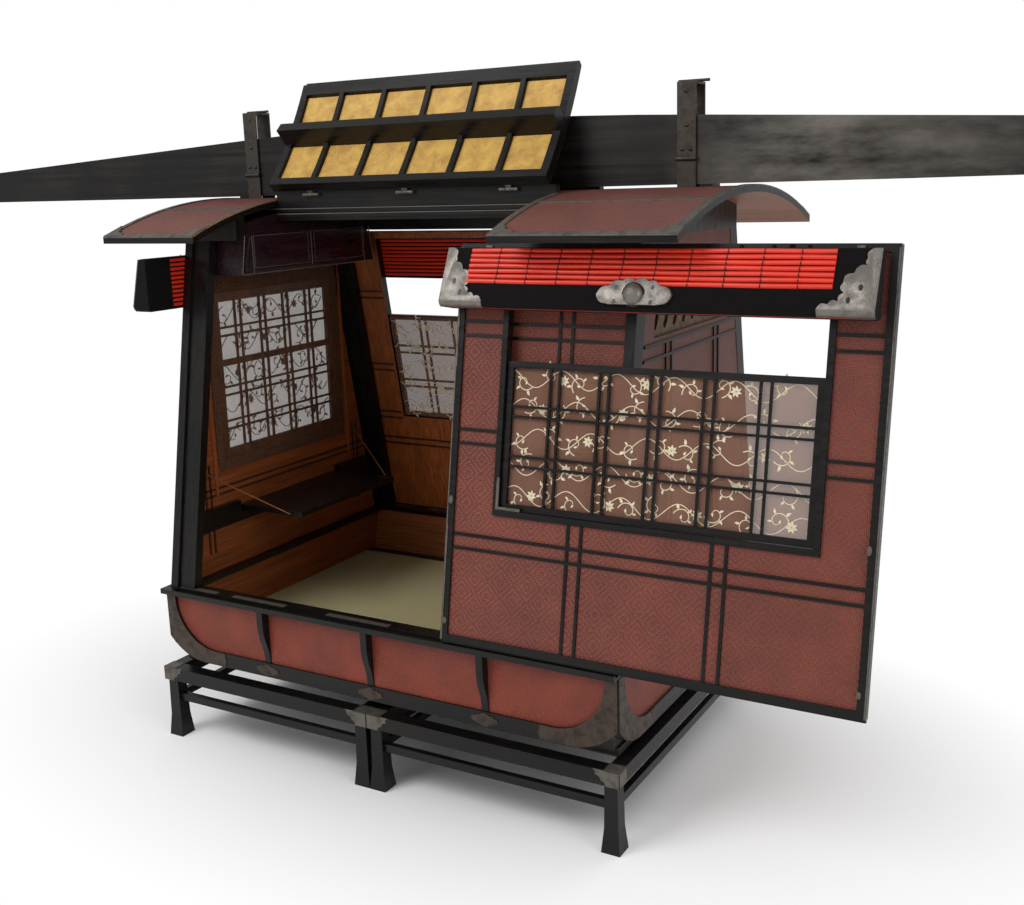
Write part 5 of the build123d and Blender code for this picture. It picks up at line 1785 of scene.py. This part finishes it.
@dataclass
class HatchTrim:
    """Beads beside the gold panels and worn rim lines of a hatch leaf."""

    side: str
    angle: float = 0.0
    hinge_y: float = 122.0
    hinge_z: float = 1276.0
    first: float = -403.0
    last: float = 310.0
    columns: int = 6
    rows: tuple = ((140.0, 233.0), (265.0, 363.0))
    beads: tuple = (6.0, 13.0)
    bead_width: float = 2.4
    bead_drops: tuple = (9.2, 13.2)
    rims: tuple = (-420.6, 314.0)
    rim_width: float = 1.6
    rim_drops: tuple = (-0.9, 0.6)
    rim_row: tuple = (123.0, 400.0)

    @property
    def sign(self) -> float:
        """-1 on the near side and 1 on the far one."""
        return -1.0 if self.side == "near" else 1.0

    def lift(self, points: np.ndarray) -> np.ndarray:
        """Turn points of the closed leaf about the hinge line by the leaf's angle at rest.

        Args:
            points: Coordinates in the last axis.

        Returns:
            Turned points, in the same shape.
        """
        y = points[..., 1] - self.sign * self.hinge_y
        z = points[..., 2] - self.hinge_z
        turn = -self.sign * math.radians(self.angle)
        c, s = math.cos(turn), math.sin(turn)
        turned = [points[..., 0], self.sign * self.hinge_y + c * y - s * z, self.hinge_z + s * y + c * z]
        return np.stack(turned, axis=-1)

    def bar(self, form: Form, x: tuple, y: tuple, drop: tuple, mark: int) -> None:
        """Curved bar on the leaf: rings of four corners across it, along y.

        Args:
            form: Form that takes it.
            x: Both sides of the bar.
            y: Both ends of the bar.
            drop: How far its top and bottom lie under the vault.
            mark: Index of the material.
        """
        ys = np.linspace(y[0], y[1], 14)
        corners = ((x[0], drop[0]), (x[1], drop[0]), (x[1], drop[1]), (x[0], drop[1]))
        rings = [np.stack([np.full(14, a), self.sign * ys, vault_height(ys) - d], axis=1) for a, d in corners]
        form.skin(self.lift(np.stack(rings, axis=1)), mark)

    def build(self, materials: dict) -> None:
        """Lay two beads in each panel and a line along both rims.

        Args:
            materials: Materials by name.
        """
        form = Form(f"{self.side}_hatch_trim")
        pitch = (self.last - self.first) / self.columns
        for column in range(self.columns):
            for row in self.rows:
                for bead in self.beads:
                    x = self.first + column * pitch + bead
                    self.bar(form, (x, x + self.bead_width), row, self.bead_drops, 0)
        for x in self.rims:
            self.bar(form, (x, x + self.rim_width), self.rim_row, self.rim_drops, 1)
        form.build(f"{self.side}_hatch_leaf", [materials["black_lacquer"], materials["gilt_edge"]])


@dataclass
class EdgeLines:
    """Painted highlight lines on the cabinet's edges, steps of the ridge beams with painted highlight lines,
    and strips on the ledge.
    """

    front: float = -425.6
    door_low: float = 12.0
    door_high: float = 208.0
    door_foot: float = 1112.0
    door_head: float = 1186.0
    foot: float = 1100.0
    head: float = 1188.0
    corner_low: float = 253.5
    corner_high: float = 237.5
    room_side: float = 214.0
    sill: tuple = (252.0, 1099.0)
    middle_post: tuple = (1106.0, 1190.0)
    curve_side: float = -247.0
    step_half: float = 4.0
    steps: tuple = ((0.3, 3.0), (0.62, 2.2))
    strips: tuple = ((-590.0, -440.0), (-392.0, -236.0), (-118.0, 50.0))
    strip_sides: tuple = (400.0, 413.0)
    strip_levels: tuple = (372.8, 374.0)

    def line(self, form: Form, corners: Sequence[tuple], radius: float) -> None:
        """Thin round line through a few corners, each run cut evenly into seven.

        Args:
            form: Form that takes it.
            corners: Points in millimetres.
            radius: Half the line's thickness.
        """
        share = np.linspace(0, 1, 8)[:, None]
        for first, second in zip(corners[:-1], corners[1:]):
            form.tube(np.array(first) + (np.array(second) - np.array(first)) * share, radius, 6)

    def door(self, side: str, sign: float, materials: dict) -> None:
        """Painted highlight line round one cabinet door.

        Args:
            side: Name of the side.
            sign: -1 for near, 1 for far.
            materials: Materials by name.
        """
        leaf = Form(f"cabinet_{side}_edge")
        inner, outer = sign * self.door_low, sign * self.door_high
        foot, head = self.door_foot, self.door_head
        ring = [(self.front, y, z) for y, z in ((inner, foot), (outer, foot), (outer, head), (inner, head))]
        # This line is a painted highlight along the door's edge.
        self.line(leaf, ring + ring[:1], 0.6)
        leaf.build(f"cabinet_leaf_{side}", [materials["edge_highlight"]], True)

    def cabinet(self, form: Form) -> None:
        """Painted highlight lines up the cabinet's corners and posts, and the curved strip beside its door.

        Args:
            form: Form that takes them.
        """
        x = self.front
        # Lines of the first finish are painted highlights along the corners, posts, sill and middle post.
        for sign in (-1.0, 1.0):
            corner = [(x, sign * self.corner_low, self.foot), (x, sign * self.corner_high, self.head)]
            self.line(form, corner, 1.3)
            post = sign * self.room_side
            self.line(form, [(x, post, self.foot), (x, post, self.head)], 1.0)
        half, z = self.sill
        self.line(form, [(x, -half, z), (x, half, z)], 1.2)
        low, high = self.middle_post
        self.line(form, [(x, 0.0, low), (x, 0.0, high)], 1.2)
        t = np.linspace(0, 1, 20)
        sideways = self.curve_side + 26 * t ** 0.6 - 6 * np.sin(math.pi * t)
        form.tube(np.column_stack([np.full(20, x + 1), sideways, low + 76 * t]), 3.2, 8, 1)

    def beam(self, form: Form, name: str, sign: float) -> None:
        """Two raised steps along a ridge beam's outer face, each with a painted highlight line on top.

        Args:
            form: Form that takes them.
            name: CAD node of the beam.
            sign: -1 for near, 1 for far.
        """
        low, high = (np.array(corner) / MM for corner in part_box(name))
        y = low[1] if sign < 0 else high[1]
        for share, depth in self.steps:
            z = low[2] + share * (high[2] - low[2])
            inner, outer = y - 0.3 * sign, y + sign * depth
            bottom, top = z - self.step_half, z + self.step_half
            ring = np.array([(inner, bottom), (outer, bottom), (outer, top), (inner, top)])
            rings = [np.column_stack([np.full(4, x), ring]) for x in (low[0] + 6, high[0] - 6)]
            form.skin(np.array(rings), 1)
            # Painted highlight along the step's top edge.
            self.line(form, [(low[0] + 8, outer, top + 0.4), (high[0] - 8, outer, top + 0.4)], 0.9)

    def build(self, materials: dict) -> None:
        """Add the lines, steps and strips.

        Args:
            materials: Materials by name.
        """
        form = Form("cabinet_lines")
        for side, sign in (("near", -1.0), ("far", 1.0)):
            self.door(side, sign, materials)
        self.cabinet(form)
        self.beam(form, "ridge_beam_near", -1.0)
        self.beam(form, "ridge_beam_far", 1.0)
        for low, high in self.strips:
            for sign in (-1.0, 1.0):
                near, far = sorted(sign * side for side in self.strip_sides)
                ring = np.array([(low, near), (high, near), (high, far), (low, far)])
                rings = [np.column_stack([ring, np.full(4, z)]) for z in self.strip_levels]
                form.skin(np.array(rings), 2)
        names = ("edge_highlight", "black_lacquer", "fitting_metal")
        form.build("cabin", [materials[n] for n in names], True)


@dataclass
class StandTrim:
    """Metal caps on the stands' top corners."""

    half_width: float = 442.5
    spans: tuple = ((-601.0, -1.0), (1.0, 601.0))
    rail_low: float = 144.0
    top: float = 176.6
    proud: float = 0.8
    reach: float = 34.0
    nodes: tuple = ((0, 0, 0), (58, 0, 1), (52, 12, 1), (40, 22, 1), (30, 33, 0), (0, 33, 0))

    def cap(self, form: Form, x: float, sense: float, side: float) -> None:
        """One corner cap: a cloud-edged front, a flat top and a flat end.

        Args:
            form: Form that takes it.
            x: Place of the stand's end.
            sense: 1 or -1, the way that the stand reaches from there.
            side: -1 for near, 1 for far.
        """
        y = side * self.half_width
        outline = lobed(self.nodes, -0.22)
        along = x - sense * self.proud + sense * outline[:, 0]
        front = np.stack([along, np.full(len(along), y + side * 0.9), self.top - outline[:, 1]], axis=1)
        back = front.copy()
        back[:, 1] = y - side * 0.4
        form.skin(np.array([back, front]))
        left, right = sorted((x - sense * self.proud, x + sense * self.reach))
        near, far = sorted((y + side * 0.9, y - side * 33.0))
        square = np.array([(left, near), (right, near), (right, far), (left, far)])
        form.skin(np.array([np.column_stack([square, np.full(4, z)]) for z in (175.7, 176.8)]))
        end = np.array([(near, self.rail_low), (far, self.rail_low), (far, self.top), (near, self.top)])
        places = (x + sense * 0.4, x - sense * self.proud)
        form.skin(np.array([np.column_stack([np.full(4, place), end]) for place in places]))

    def build(self, materials: dict) -> None:
        """Cap all corners of both stands.

        Args:
            materials: Materials by name.
        """
        form = Form("stand_trim")
        for low, high in self.spans:
            for sense, x in ((1, low), (-1, high)):
                for side in (-1, 1):
                    self.cap(form, x, sense, side)
        form.build("cabin", [materials["fitting_metal"]])


@dataclass
class Rivets:
    """Rivet heads on both hangers' straps and lower plates."""

    hanger: float = 573.5
    face: float = 26.8
    radius: float = 5.0
    rise: float = 3.6
    places: tuple = ((1458.0, 0.0), (1392.0, 0.0), (1345.0, -9.0), (1345.0, 9.0))

    def build(self, materials: dict) -> None:
        """Low domes: rings of radius r cos a at height h sin a.

        Args:
            materials: Materials by name.
        """
        form = Form("rivets")
        turn = np.linspace(0, 2 * math.pi, 12, endpoint=False)
        angle = np.linspace(0, 0.95 * math.pi / 2, 4)[:, None]
        for x in (-self.hanger, self.hanger):
            for side in (-1, 1):
                for z, dx in self.places:
                    across = x + dx + self.radius * np.cos(angle) * np.cos(turn)
                    depth = side * (self.face + self.rise * np.sin(angle)) * np.ones(12)
                    level = z + self.radius * np.cos(angle) * np.sin(turn)
                    form.skin(np.stack([across, depth, level], axis=-1))
        form.build("cabin", [materials["hanger_metal"]], True)


def additions() -> tuple:
    """All pieces that are made here, in their order.

    Returns:
        Objects with a build method.
    """
    near, far, end = Place(198.0), Place(-550.0, far=True), Place(-558.0, end=True)
    return (
        Blind("near_blind", "near_door_blind", "near_door_leaf", near),
        Blind("far_blind", "far_door_blind", "far_door_leaf", far),
        Blind("end_wall_blind", "end_blind", "cabin", end, length=796.0, bottom=1025.0, threads=9),
        VineGauze("near_gauze", "near_door_gauze", "near_door_leaf", near, "near_door_sash"),
        VineGauze(
            "end_window_gauze",
            "end_gauze",
            "cabin",
            end,
            "end_sash",
            u=(-208.0, 208.0),
            v=(663.0, 1034.0),
            w=(13.0, 14.0),
            thread="vine_shade",
            finish="end_gauze",
        ),
        VineGauze("far_gauze", "far_door_gauze", "far_door_leaf", far, "far_door_sash"),
        FloorMat(),
        DoorTrim("near", near),
        DoorTrim("far", far),
        InnerBattens(),
        RoofTrim(),
        HatchTrim("near", angle=-137.0),
        HatchTrim("far"),
        EdgeLines(),
        StandTrim(),
        Rivets(),
    )


def main() -> None:
    """Build the stage, dress the CAD nodes and add the pieces made here."""
    logging.basicConfig(level=logging.INFO)
    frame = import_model()
    Studio().build()
    materials = {finish.name: finish.build() for finish in FINISHES}
    painter = Painter(frame["nodes"], materials)
    for part in (Hull(), Cabin(), Doors(), Hatches(), Rig(), Interior()):
        part.dress(painter)
        LOG.info("dressed %s", type(part).__name__)
    for piece in additions():
        piece.build(materials)
        LOG.info("made %s", type(piece).__name__)


if __name__ == "__main__":
    main()
